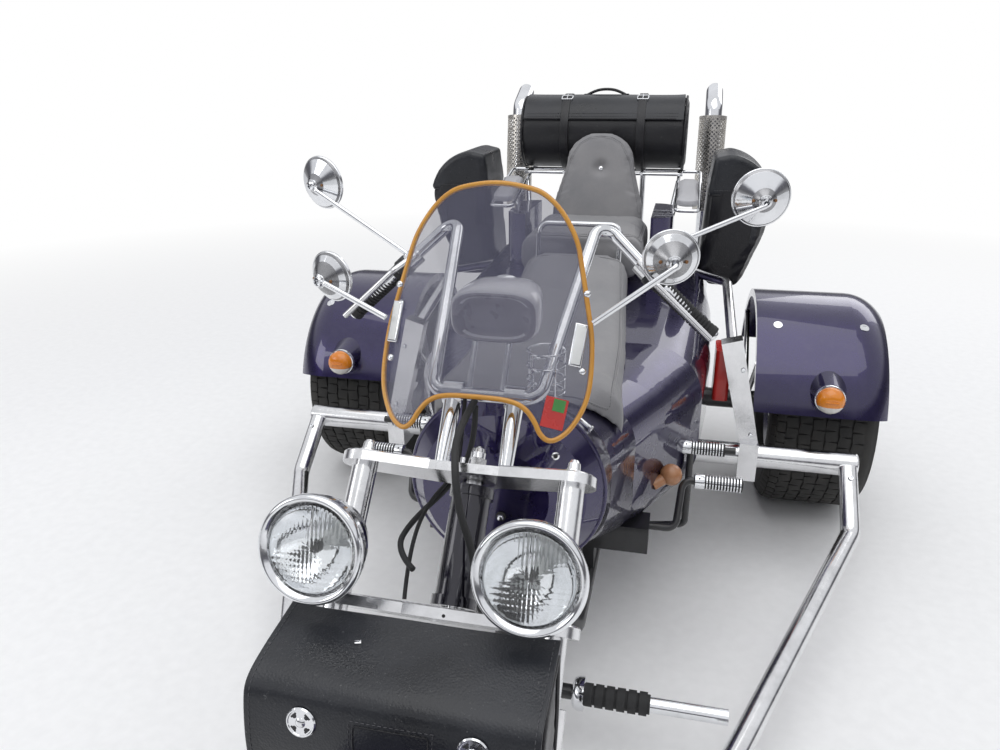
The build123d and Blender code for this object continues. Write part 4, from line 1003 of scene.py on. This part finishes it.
# mirrors: satin shells over the cones, bright rims, silvered glass, hub screws
mirrors = {  # place, radius of the glass and turn
    "upperRight": ((-0.456, -0.262, 1.157), 0.054, -20), "upperLeft": ((0.449, -0.262, 1.148), 0.054, 12),
    "lowerRight": ((-0.310, -0.560, 1.033), 0.045, -20), "lowerLeft": ((0.295, -0.560, 1.093), 0.045, 12),
}
hubRows = ((0.0060, -0.0225), (0.0088, -0.0215), (0.0094, -0.0170), (0.0126, -0.0148), (0.0130, -0.0110))
studRows = ((0.0030, 0), (0.0030, 0.0014), (0.0020, 0.0024), (0.0003, 0.0027))
for name, (place, radius, turn) in mirrors.items():
    swing = math.radians(turn)
    facing = Vector((-math.sin(swing), math.cos(swing), 0.08)).normalized()
    coverRows = (
        (0.0105, -0.0166), (0.0146, -0.0106), (0.026, -0.0030),
        (radius - 0.010, 0.0070), (radius - 0.0035, 0.0104), (radius + 0.0003, 0.0158),
    )
    cover = turnRing(place, facing, coverRows, 64, False)
    finishPiece(cover, name + "MirrorShell", "steering", "chrome", "satin_metal", 50)
    brim = roundRing(Vector(place) + facing * 0.0170, facing, radius - 0.0006, 0.0026, 64, 12)
    finishPiece(brim, name + "MirrorRim", "steering", "chrome")
    silverRows = (
        (radius - 0.004, 0.0240), (radius - 0.004, 0.0254), (radius - 0.010, 0.0262),
        (radius * 0.5, 0.0270), (0.0008, 0.0274),
    )
    silver = turnPiece(place, facing, silverRows, 64)
    finishPiece(silver, name + "MirrorGlass", "steering", "chrome", "mirror_glass", 40)
    finishPiece(turnRing(place, facing, hubRows, 32, False), name + "MirrorHub", "steering", "chrome")
    across = Vector((facing.y, -facing.x, 0)).normalized()
    studs = []
    for side in (-across, across):
        spot = Vector(place) + side * 0.0205 - facing * 0.0068
        studs.append(turnPiece(spot, -facing + side * 0.55, studRows, 12))
    finishPiece(joinPieces(studs), name + "MirrorScrews", "steering", "chrome", "rusty_metal")
print("mirrors finished")


# perforated heat shields: one pierced diamond cell, laid out flat, then wrapped round the pipe
shield = {
    "radius": 0.0512, "around": 20, "rows": 44, "hole": 0.0043, "x": 0.383,
    "run": ((1.455, 0.850), (1.455, 1.000), (1.488, 1.204)),
}
cellHalf = math.pi * shield["radius"] / shield["around"]
shieldRun = smoothRun(shield["run"], 4)
shieldLength = runLength(shieldRun)
rowStep = shieldLength / (shield["rows"] + 1)


def alongShield(way):  # a place on the pipe's middle line and the line's direction there
    rest = max(0.0, min(way, shieldLength - 1e-6))
    for start, end in zip(shieldRun, shieldRun[1:]):
        length = (end - start).length
        if rest <= length:
            break
        rest -= length
    return Vector((shield["x"], *start.lerp(end, rest / length))), Vector((0, *(end - start).normalized()))


def makeShield():
    pickOnly()
    bpy.ops.mesh.primitive_circle_add(vertices=8, radius=shield["hole"], fill_type="NOTHING")
    cell = bpy.context.object
    editPiece(cell)
    bpy.ops.mesh.extrude_region_move(TRANSFORM_OT_translate={"value": (0, 0, 0)})
    bpy.ops.transform.resize(value=(2, 2, 2))
    bpy.ops.object.mode_set(mode="OBJECT")
    for vertex in cell.data.vertices:
        if vertex.co.length > shield["hole"] * 1.5:
            share = 1.0 if min(abs(vertex.co.x), abs(vertex.co.y)) < 1e-5 else 0.5
            for part, half in enumerate((cellHalf, rowStep)):
                reach = vertex.co[part]
                vertex.co[part] = math.copysign(half * share, reach) if abs(reach) > 1e-5 else 0
    spots = []
    for row in range(shield["rows"]):
        for count in range(shield["around"]):
            spots.append(Matrix.Translation(((2 * count + row % 2) * cellHalf, (row + 1) * rowStep, 0)))
    sheet = scatterCopies(cell, spots)
    for vertex in sheet.data.vertices:
        turn = vertex.co.x / shield["radius"]
        middle, ahead = alongShield(vertex.co.y)
        out = Vector((0, ahead.z, -ahead.y))
        vertex.co = middle + (Vector((math.cos(turn), 0, 0)) + out * math.sin(turn)) * shield["radius"]
    editPiece(sheet)
    bpy.ops.mesh.remove_doubles(threshold=0.0004)
    leaveEdit()
    addModifier(sheet, "SOLIDIFY", thickness=0.0014, offset=0)
    applyAll(sheet)
    return sheet


lowBand = ((0.0505, 0.001), (0.0526, 0.001), (0.0526, 0.009), (0.0505, 0.009))
topBand = ((0.0505, 0), (0.0526, 0), (0.0526, 0.009), (0.0505, 0.009))
pipeRing = ((0.0325, 0), (0.0508, 0), (0.0508, 0.004), (0.0325, 0.004))
bits = [makeShield(), turnRing((shield["x"], *shield["run"][0]), (0, 0, 1), lowBand)]
topSpot, topAxis = alongShield(shieldLength)
bits.append(turnRing(topSpot - topAxis * 0.010, topAxis, topBand))
bits += [turnRing(*alongShield(way), pipeRing, 40) for way in (0.03, 0.15, 0.30)]
leftShield = finishPiece(joinPieces(bits), "leftHeatShield", "chassis", "polished", "shield_metal")
finishPiece(otherSide(leftShield), "rightHeatShield", "chassis", "polished", "shield_metal")
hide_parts("heat_shields")
print("heat shields wrapped")


# tyres: a turned carcass with sunk grooves, and one pitch of blocks copied round it
def roundedSection(radius, halfWidth, rimRadius, shoulder, sink):
    wall = radius - shoulder
    rows = [
        (rimRadius + 0.0005, -halfWidth + 0.030), (rimRadius + 0.002, -halfWidth + 0.018),
        (rimRadius + 0.012, -halfWidth + 0.0035), (rimRadius + 0.018, -halfWidth + 0.0012),
        (rimRadius + 0.030, -halfWidth), (wall - 0.014, -halfWidth),
        (wall - 0.012, -halfWidth + 0.0016), (wall - 0.004, -halfWidth + 0.0016),
    ]
    for i in range(1, 7):
        turn = math.radians(15 * i)
        reach = shoulder - (sink if i > 1 else 0.0)
        rows.append((wall + reach * math.sin(turn), -halfWidth + shoulder - reach * math.cos(turn)))
    return rows + [(r, -w) for r, w in reversed(rows)]


def makeTyre(node, name, body, place, size, tread):
    radius, halfWidth, rimRadius, shoulder = size
    carcass = turnRing(place, (1, 0, 0), roundedSection(*size, tread["sink"]), 120)
    block = addBlock((0, 0, 0), (1, 1, 1), (0, 0, 0), 0.06, 1)
    pitch = 2 * math.pi / tread["pitches"]
    length = tread["length"] * pitch * radius
    deep = tread["sink"] + 0.004
    spots = []
    for count in range(tread["pitches"]):
        for side in (-1, 1):
            for row, (way, width, lean, twist) in enumerate(tread["rows"]):
                if side > 0 and lean:  # the leaned shoulder rows are on the right side only
                    continue
                tilt = math.radians(lean)
                along = halfWidth - shoulder + math.sin(tilt) * shoulder if lean else way
                top = radius - shoulder * (1 - math.cos(tilt))
                spot = Matrix.Rotation((count + row % 2 / 2) * pitch, 4, "X")
                leaned = Matrix.Rotation(side * tilt, 4, "Y")
                spot = spot @ Matrix.Translation((side * along, 0, top)) @ leaned
                twisted = Matrix.Rotation(math.radians(side * twist * (-1) ** count), 4, "Z")
                spot = spot @ Matrix.Translation((0, 0, -deep / 2)) @ twisted
                spots.append(Matrix.Translation(place) @ spot @ Matrix.Diagonal((width, length, deep, 1)))
    tyre = finishPiece(joinPieces([carcass, scatterCopies(block, spots)]), name, body, "tyre", None, 30)
    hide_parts(node)


# the sizes are radius, half width, rim radius and shoulder
rear = {"x": 0.760, "y": 0.759, "z": 0.325, "size": (0.3230, 0.152, 0.192, 0.040)}
front = {"place": (0, -1.306, 0.280), "size": (0.2780, 0.063, 0.192, 0.040)}
rearTread = {"pitches": 60, "length": 0.90, "sink": 0.006, "rows": (  # way out, width, lean and twist
    (0.0185, 0.0335, 0, 7), (0.0560, 0.0335, 0, -7), (0.0935, 0.0335, 0, 7), (0.0, 0.0250, 18, 0),
    (0.0, 0.0250, 56, 0),
)}
frontTread = {"pitches": 66, "length": 0.88, "sink": 0.005, "rows": (
    (0.0115, 0.0200, 0, 9), (0.0, 0.0210, 18, -6), (0.0, 0.0210, 52, 0),
)}
for word, side in (("left", 1), ("right", -1)):
    place = (side * rear["x"], rear["y"], rear["z"])
    makeTyre(word + "_tyre", word + "RearTyre", word + "_wheel", place, rear["size"], rearTread)
makeTyre("front_tyre", "frontTyre", "front_wheel", front["place"], front["size"], frontTread)
print("tyres treaded")


# wheel hubs: a domed cap and a ring of nuts outside each rear wheel, a nut on each front axle end
hub = {"face": 0.124, "nutRing": 0.049, "nuts": 5, "axleEnd": 0.190}
capRows = ((0.034, -0.004), (0.034, 0.006), (0.030, 0.014), (0.018, 0.020), (0.0006, 0.022))
nutRows = ((0.0105, 0), (0.0105, 0.010), (0.0085, 0.014), (0.0030, 0.0155), (0.0005, 0.0157))
axleRows = (
    (0.019, -0.002), (0.019, 0.004), (0.0145, 0.004), (0.0145, 0.015), (0.011, 0.019), (0.0005, 0.020),
)
for word, side in (("left", 1), ("right", -1)):
    face = side * (rear["x"] + hub["face"])
    bits = [turnPiece((face, rear["y"], rear["z"]), (side, 0, 0), capRows, 40)]
    for i in range(hub["nuts"]):
        turn = math.radians(72 * i + 36)
        reach = (hub["nutRing"] * math.cos(turn), hub["nutRing"] * math.sin(turn))
        spot = (face - side * 0.001, rear["y"] + reach[0], rear["z"] + reach[1])
        bits.append(turnPiece(spot, (side, 0, 0), nutRows, 6))
    finishPiece(joinPieces(bits), word + "WheelNuts", word + "_wheel", "chrome")
ends = []
for side in (-1, 1):
    ends.append(turnPiece((side * hub["axleEnd"], *front["place"][1:]), (side, 0, 0), axleRows, 6))
finishPiece(joinPieces(ends), "frontAxleNuts", "steering", "chrome")
print("hubs fitted")


# grips, rubber sleeves on the pegs and switch boxes
def ribbedRows(length, ridge, valley, pitch, cap):
    rows = [(0.0006, -0.001), (ridge, -0.001), (ridge, cap)]
    for i in range(int((length - 2 * cap) / pitch)):
        start = cap + i * pitch
        rows += [(valley, start + pitch * 0.12), (valley, start + pitch * 0.38)]
        rows += [(ridge, start + pitch * 0.5), (ridge, start + pitch * 0.95)]
    rows += [(ridge, length - cap), (ridge * 1.06, length - cap + 0.001), (ridge * 1.06, length - 0.001)]
    return rows + [(ridge * 0.9, length), (0.0006, length)]


def toSide(spot, side):
    return Vector((side * spot[0], spot[1], spot[2]))


gripFoot, gripTip = Vector((0.268, -0.296, 0.986)), Vector((0.378, -0.294, 0.887))
gripRun = gripTip - gripFoot
switch = {
    "place": (0.255, -0.296, 0.9975), "box": (0.030, 0.022, 0.020), "off": (0, 0.012, 0.012), "lean": 42,
}
tipRows = ((0.0125, 0), (0.0130, 0.003), (0.0110, 0.007), (0.0060, 0.0088), (0.0005, 0.009))
switchRows = ((0.0180, 0), (0.0205, 0.002), (0.0205, 0.024), (0.0180, 0.026))
gripRows = ribbedRows(gripRun.length, 0.0172, 0.0150, 0.0078, 0.010)
grips, caps, switches = [], [], []
for side in (-1, 1):
    run = toSide(gripRun, side)
    grips.append(turnPiece(toSide(gripFoot, side), run, gripRows, 32))
    run.normalize()
    caps.append(turnPiece(toSide(gripTip, side) - run * 0.001, run, tipRows, 24))
    spot = toSide(switch["place"], side)
    switches.append(turnPiece(spot - run * 0.012, run, switchRows, 28))
    lean = (0, side * math.radians(switch["lean"]), 0)
    switches.append(addBlock(spot + Vector(switch["off"]), switch["box"], lean, 0.004, 3))
bothGrips = finishPiece(joinPieces(grips), "ribbedGrips", "steering", "rubber", None, 30)
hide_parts("grips")
finishPiece(joinPieces(caps), "gripCaps", "steering", "chrome")
finishPiece(joinPieces(switches), "switchBoxes", "steering", "black_plastic")

# pegs: a black core, a plain chrome collar and bright rings
pegs = {"footrest": (0.345, 0.077, 0.457, 0.108), "pedal": (0.380, -0.048, 0.427, 0.113)}
sleeve = {"core": 0.0164, "ring": 0.0186, "inner": 0.0160, "collar": 0.024, "pitch": 0.0072, "last": 0.0014}
collarRows = ((0.0160, -0.001), (0.0186, 0.001), (0.0186, 0.022), (0.0172, 0.024))
for name, (x, y, z, length) in pegs.items():
    cores, bright = [], []
    for side in (-1, 1):
        place, out = (side * x, y, z), (side, 0, 0)
        cores.append(turnPiece(place, out, ((sleeve["core"], 0), (sleeve["core"], length)), 28))
        bright.append(turnPiece(place, out, collarRows, 32))
        count = int((length - sleeve["collar"]) / sleeve["pitch"])
        for i in range(count):
            at = sleeve["collar"] + 0.003 + i * sleeve["pitch"]
            wide = sleeve["ring"] + (sleeve["last"] if i == count - 1 else 0)
            rows = [(sleeve["inner"], at), (wide, at + 0.0006)]
            rows += [(wide, at + 0.0036), (sleeve["inner"], at + 0.0042)]
            bright.append(turnRing(place, out, rows, 32))
    finishPiece(joinPieces(cores), name + "Cores", "chassis", "rubber")
    finishPiece(joinPieces(bright), name + "Rings", "chassis", "chrome")
for nodeName in ("footrests", "pedals"):
    paintPiece(nodes[nodeName], "frame_black")
bar = {"y": -0.503, "z": 0.133, "sleeve": 0.312, "cone": 0.148}
sleeveRows = ((0.0163, 0), (0.0163, 0.160))
coneRows = ((0.0163, 0), (0.0300, 0.006), (0.0355, 0.014), (0.0355, 0.0275), (0.0310, 0.0290))
barCover = []
for side in (-1, 1):
    out = (side, 0, 0)
    barCover.append(turnPiece((side * bar["sleeve"], bar["y"], bar["z"]), out, sleeveRows, 32))
    barCover.append(turnPiece((side * bar["cone"], bar["y"], bar["z"]), out, coneRows, 40))
finishPiece(joinPieces(barCover), "highwayBarPlating", "chassis", "chrome")
print("grips and pegs ribbed")


# bolts and washers where the photograph shows them
washerRows = (
    (0.0135, -0.001), (0.0138, 0.0010), (0.0130, 0.0020), (0.0060, 0.0022), (0.0058, 0.0012),
    (0.0005, 0.0012),
)
boltRows = (
    (0.0068, -0.001), (0.0070, 0.0050), (0.0062, 0.0064), (0.0036, 0.0066), (0.0034, 0.0040),
    (0.0005, 0.0040),
)
fittings = {  # node, pixel in the photograph, section, and whether the far side has one too
    "leftFenderInner": ("rear_fenders", (778, 325), washerRows, True),
    "leftFenderOuter": ("rear_fenders", (864.5, 328), washerRows, False),
    "rightFenderOuter": ("rear_fenders", (331, 303), washerRows, False),
    "bracketUpper": ("side_brackets", (743.5, 370.5), boltRows, True),
    "bracketLower": ("side_brackets", (750.5, 435.5), boltRows, True),
    "guardTop": ("guard_bars", (850.5, 478.5), boltRows, True),
}
for name, (nodeName, pixel, rows, paired) in fittings.items():
    fitting = turnPiece(*landPixel(nodes[nodeName], *pixel), rows)
    finishPiece(fitting, name + "Fitting", "chassis", "chrome")
    if paired:
        finishPiece(otherSide(fitting), name + "FittingTwin", "chassis", "chrome")
print("fittings set")


# indicators: chrome base ring, amber upper lens and clear lower lens with a ridge between
signal = {"x": 0.748, "y": 0.394, "z": 0.498, "split": -0.012, "ridge": (-0.0455, 0.004)}
baseRows = ((0.0375, 0.001), (0.0420, 0.001), (0.0425, 0.006), (0.0412, 0.011), (0.0380, 0.012))
domeRows = (
    (0.0386, 0.004), (0.0388, 0.020), (0.0378, 0.026), (0.0350, 0.0325), (0.0300, 0.0385),
    (0.0250, 0.0425), (0.0180, 0.0452), (0.0100, 0.0466), (0.0005, 0.0470),
)
splitLevel = signal["z"] + signal["split"]
for side, word in ((-1, "right"), (1, "left")):
    place = (side * signal["x"], signal["y"], signal["z"])
    finishPiece(turnRing(place, (0, -1, 0), baseRows, 56), word + "SignalBase", "chassis", "chrome")
    dome = turnPiece(place, (0, -1, 0), domeRows, 56)
    editPiece(dome)
    bpy.ops.mesh.bisect(plane_co=(0, 0, splitLevel), plane_no=(0, 0, 1), use_fill=False)
    leaveEdit()
    finishPiece(dome, word + "SignalLens", "chassis", "amber")
    dome.data.materials.append(finish["pale_lens"])
    for face in dome.data.polygons:
        if face.center.z < splitLevel - 0.0001:
            face.material_index = 1
    ridgeSpot = (place[0], signal["y"] + signal["ridge"][0], signal["z"] + signal["ridge"][1])
    ridge = addBlock(ridgeSpot, (0.034, 0.008, 0.0045), (0, 0, 0), 0.0016, 2)
    finishPiece(ridge, word + "SignalRidge", "chassis", "amber")
print("indicators finished")


# gear lever: wooden ball and neck, black arm, rubber boot; the steering head in deep gloss
lever = {"foot": (0.200, -0.125, 0.380), "neck": 0.278, "boot": 0.063}
leverNode = nodes["gear_lever"]
for look in ("frame_black", "rubber"):
    leverNode.data.materials.append(finish[look])
for face in leverNode.data.polygons:
    spot = leverNode.matrix_world @ face.center
    if spot.x < lever["neck"]:
        inBoot = (spot - Vector(lever["foot"])).length < lever["boot"]
        face.material_index = 2 if inBoot else 1
paintPiece(nodes["headstock"], "deep_paint")

# small bright and dark fittings on the front of the body, the clamps and the pegs
pixels = {
    "screw": (555.5, 456), "knob": (501, 516), "pin": (443.5, 616), "latch": (577, 419),
    "latchEnd": (597, 431),
}
onTub = ("body_tub", "chassis")
smallParts = {  # node with its body, pixel, slot and section
    "domeScrewRing": (
        *onTub, "screw", "chrome", ((0.0078, -0.001), (0.0078, 0.0010), (0.0064, 0.0016), (0.0005, 0.0016)),
    ),
    "domeScrewHole": (*onTub, "screw", "rubber", ((0.0044, 0.0012), (0.0044, 0.0020), (0.0005, 0.0020))),
    "domeKnobSeat": (
        *onTub, "knob", "rubber", ((0.0100, -0.001), (0.0100, 0.0030), (0.0070, 0.0036), (0.0005, 0.0036)),
    ),
    "domeKnob": (
        *onTub, "knob", "chrome", ((0.0066, 0.0030), (0.0066, 0.0080), (0.0050, 0.0105), (0.0005, 0.0115)),
    ),
    "clampPin": (
        "fork_clamps", "steering", "pin", "rubber", ((0.0026, -0.0005), (0.0026, 0.0006), (0.0005, 0.0006)),
    ),
}
for name, (nodeName, body, pixel, slotName, rows) in smallParts.items():
    finishPiece(turnPiece(*landPixel(nodes[nodeName], *pixels[pixel]), rows), name, body, slotName)
latchPlace, latchOut = landPixel(nodes["body_tub"], *pixels["latch"])
latchRun = pixelRay(*pixels["latchEnd"]) - pixelRay(*pixels["latch"])
latchRun = (latchRun - latchOut * latchRun.dot(latchOut)).normalized()
latchTurn = Matrix((latchRun, latchOut.cross(latchRun), latchOut)).transposed().to_euler()
latchSpot = latchPlace + latchRun * 0.016 + latchOut * 0.003
latchBar = addBlock(latchSpot, (0.040, 0.015, 0.010), latchTurn, 0.003, 3)
latchHook = addBlock(latchSpot + latchRun * 0.017, (0.006, 0.019, 0.015), latchTurn, 0.002, 2)
finishPiece(joinPieces([latchBar, latchHook]), "domeLatch", "chassis", "chrome")
holeRows = ((0.0024, -0.0004), (0.0024, 0.0005), (0.0005, 0.0005))
holeOut = Vector((0, -0.62, 0.78)).normalized()
collarHoles = []
for x, y, z, length in pegs.values():
    for side in (-1, 1):
        spot = Vector((side * (x + 0.011), y, z)) + holeOut * 0.0184
        collarHoles.append(turnPiece(spot, holeOut, holeRows, 12))
finishPiece(joinPieces(collarHoles), "pegCollarHoles", "chassis", "rubber")
print("small fittings set")


# camera, light and floor
def placeCamera():
    right, down, ahead = viewAxes()
    data = bpy.data.cameras.new("photoCamera")
    data.lens = view["lens"]
    data.sensor_width = photo["sensor"]
    data.clip_end = 200
    camera = bpy.data.objects.new("photoCamera", data)
    rows = [[right[i], -down[i], -ahead[i], view["place"][i]] for i in range(3)]
    camera.matrix_world = Matrix(rows + [[0, 0, 0, 1]])
    bpy.context.collection.objects.link(camera)
    bpy.context.scene.camera = camera


softLights = {  # place, aim, size and power
    "overheadSoft": ((0.4, -0.6, 4.6), (0, 0, 0.4), (4.5, 4.5), 70),
    "leftSoft": ((-4.2, -3.0, 2.8), (0, 0, 0.5), (2.5, 2.0), 34),
    "rearSoft": ((2.5, 4.5, 3.0), (0, 0.4, 0.6), (3.0, 2.0), 30),
}


def addSoftLight(name, place, aim, size, power):
    data = bpy.data.lights.new(name, "AREA")
    data.shape = "RECTANGLE"
    data.size, data.size_y = size
    data.energy = power
    light = bpy.data.objects.new(name, data)
    light.location = place
    light.rotation_euler = (Vector(aim) - Vector(place)).to_track_quat("-Z", "Y").to_euler()
    bpy.context.collection.objects.link(light)


def buildWorld():
    world = bpy.data.worlds.new("studioWorld")
    bpy.context.scene.world = world
    world.use_nodes = True
    tree = world.node_tree
    path = addNode(tree, "LightPath").outputs
    coords = addNode(tree, "TexCoord").outputs["Generated"]
    rise = addNode(tree, "SeparateXYZ", (("Vector", coords),)).outputs["Z"]
    sky = addRamp(tree, rise, (
        (0.0, (0.30, 0.30, 0.31)), (0.10, (0.12, 0.12, 0.13)), (0.24, (0.14, 0.14, 0.16)),
        (0.36, (0.80, 0.81, 0.84)), (1.0, (0.85, 0.86, 0.88)),
    ))
    rays = ((0, path["Is Camera Ray"]), (1, path["Is Transmission Ray"]))
    seen = addNode(tree, "Math", rays, operation="MAXIMUM").outputs[0]
    back = tree.nodes["Background"]
    tree.links.new(addMix(tree, seen, sky, (1, 1, 1, 1)), back.inputs["Color"])
    back.inputs["Strength"].default_value = 1.0


def buildFloor():
    pickOnly()
    bpy.ops.mesh.primitive_circle_add(vertices=96, radius=40, fill_type="NGON", location=(0, 0, 0))
    floor = bpy.context.object
    floor.name = "paleFloor"
    mat, tree = startMaterial("paleFloor", Roughness=0.75, Specular_IOR_Level=0.2)
    shader = tree.nodes["Principled BSDF"]
    vector = objectCoords(tree)
    reach = addNode(tree, "VectorMath", ((0, vector),), operation="LENGTH").outputs["Value"]
    far = addRange(tree, reach, 0.0, 1.0, 2.6, 6.5)
    tones = ((0.3, (0.86, 0.86, 0.86)), (0.7, (0.90, 0.90, 0.90)))
    grain = addRamp(tree, addNoise(tree, vector, 30, 4), tones)
    tree.links.new(grain, shader.inputs["Base Color"])
    glow = addNode(tree, "Emission").outputs[0]
    seen = addNode(tree, "LightPath").outputs["Is Camera Ray"]
    veil = addNode(tree, "Math", ((0, far), (1, seen)), operation="MULTIPLY").outputs[0]
    mixed = addNode(tree, "MixShader", ((0, veil), (1, shader.outputs[0]), (2, glow))).outputs[0]
    tree.links.new(mixed, tree.nodes["Material Output"].inputs["Surface"])
    floor.data.materials.append(mat)


placeCamera()
for name, facts in softLights.items():
    addSoftLight(name, *facts)
buildWorld()
buildFloor()
bpy.context.scene.view_settings.view_transform = "Standard"
print("stage ready")
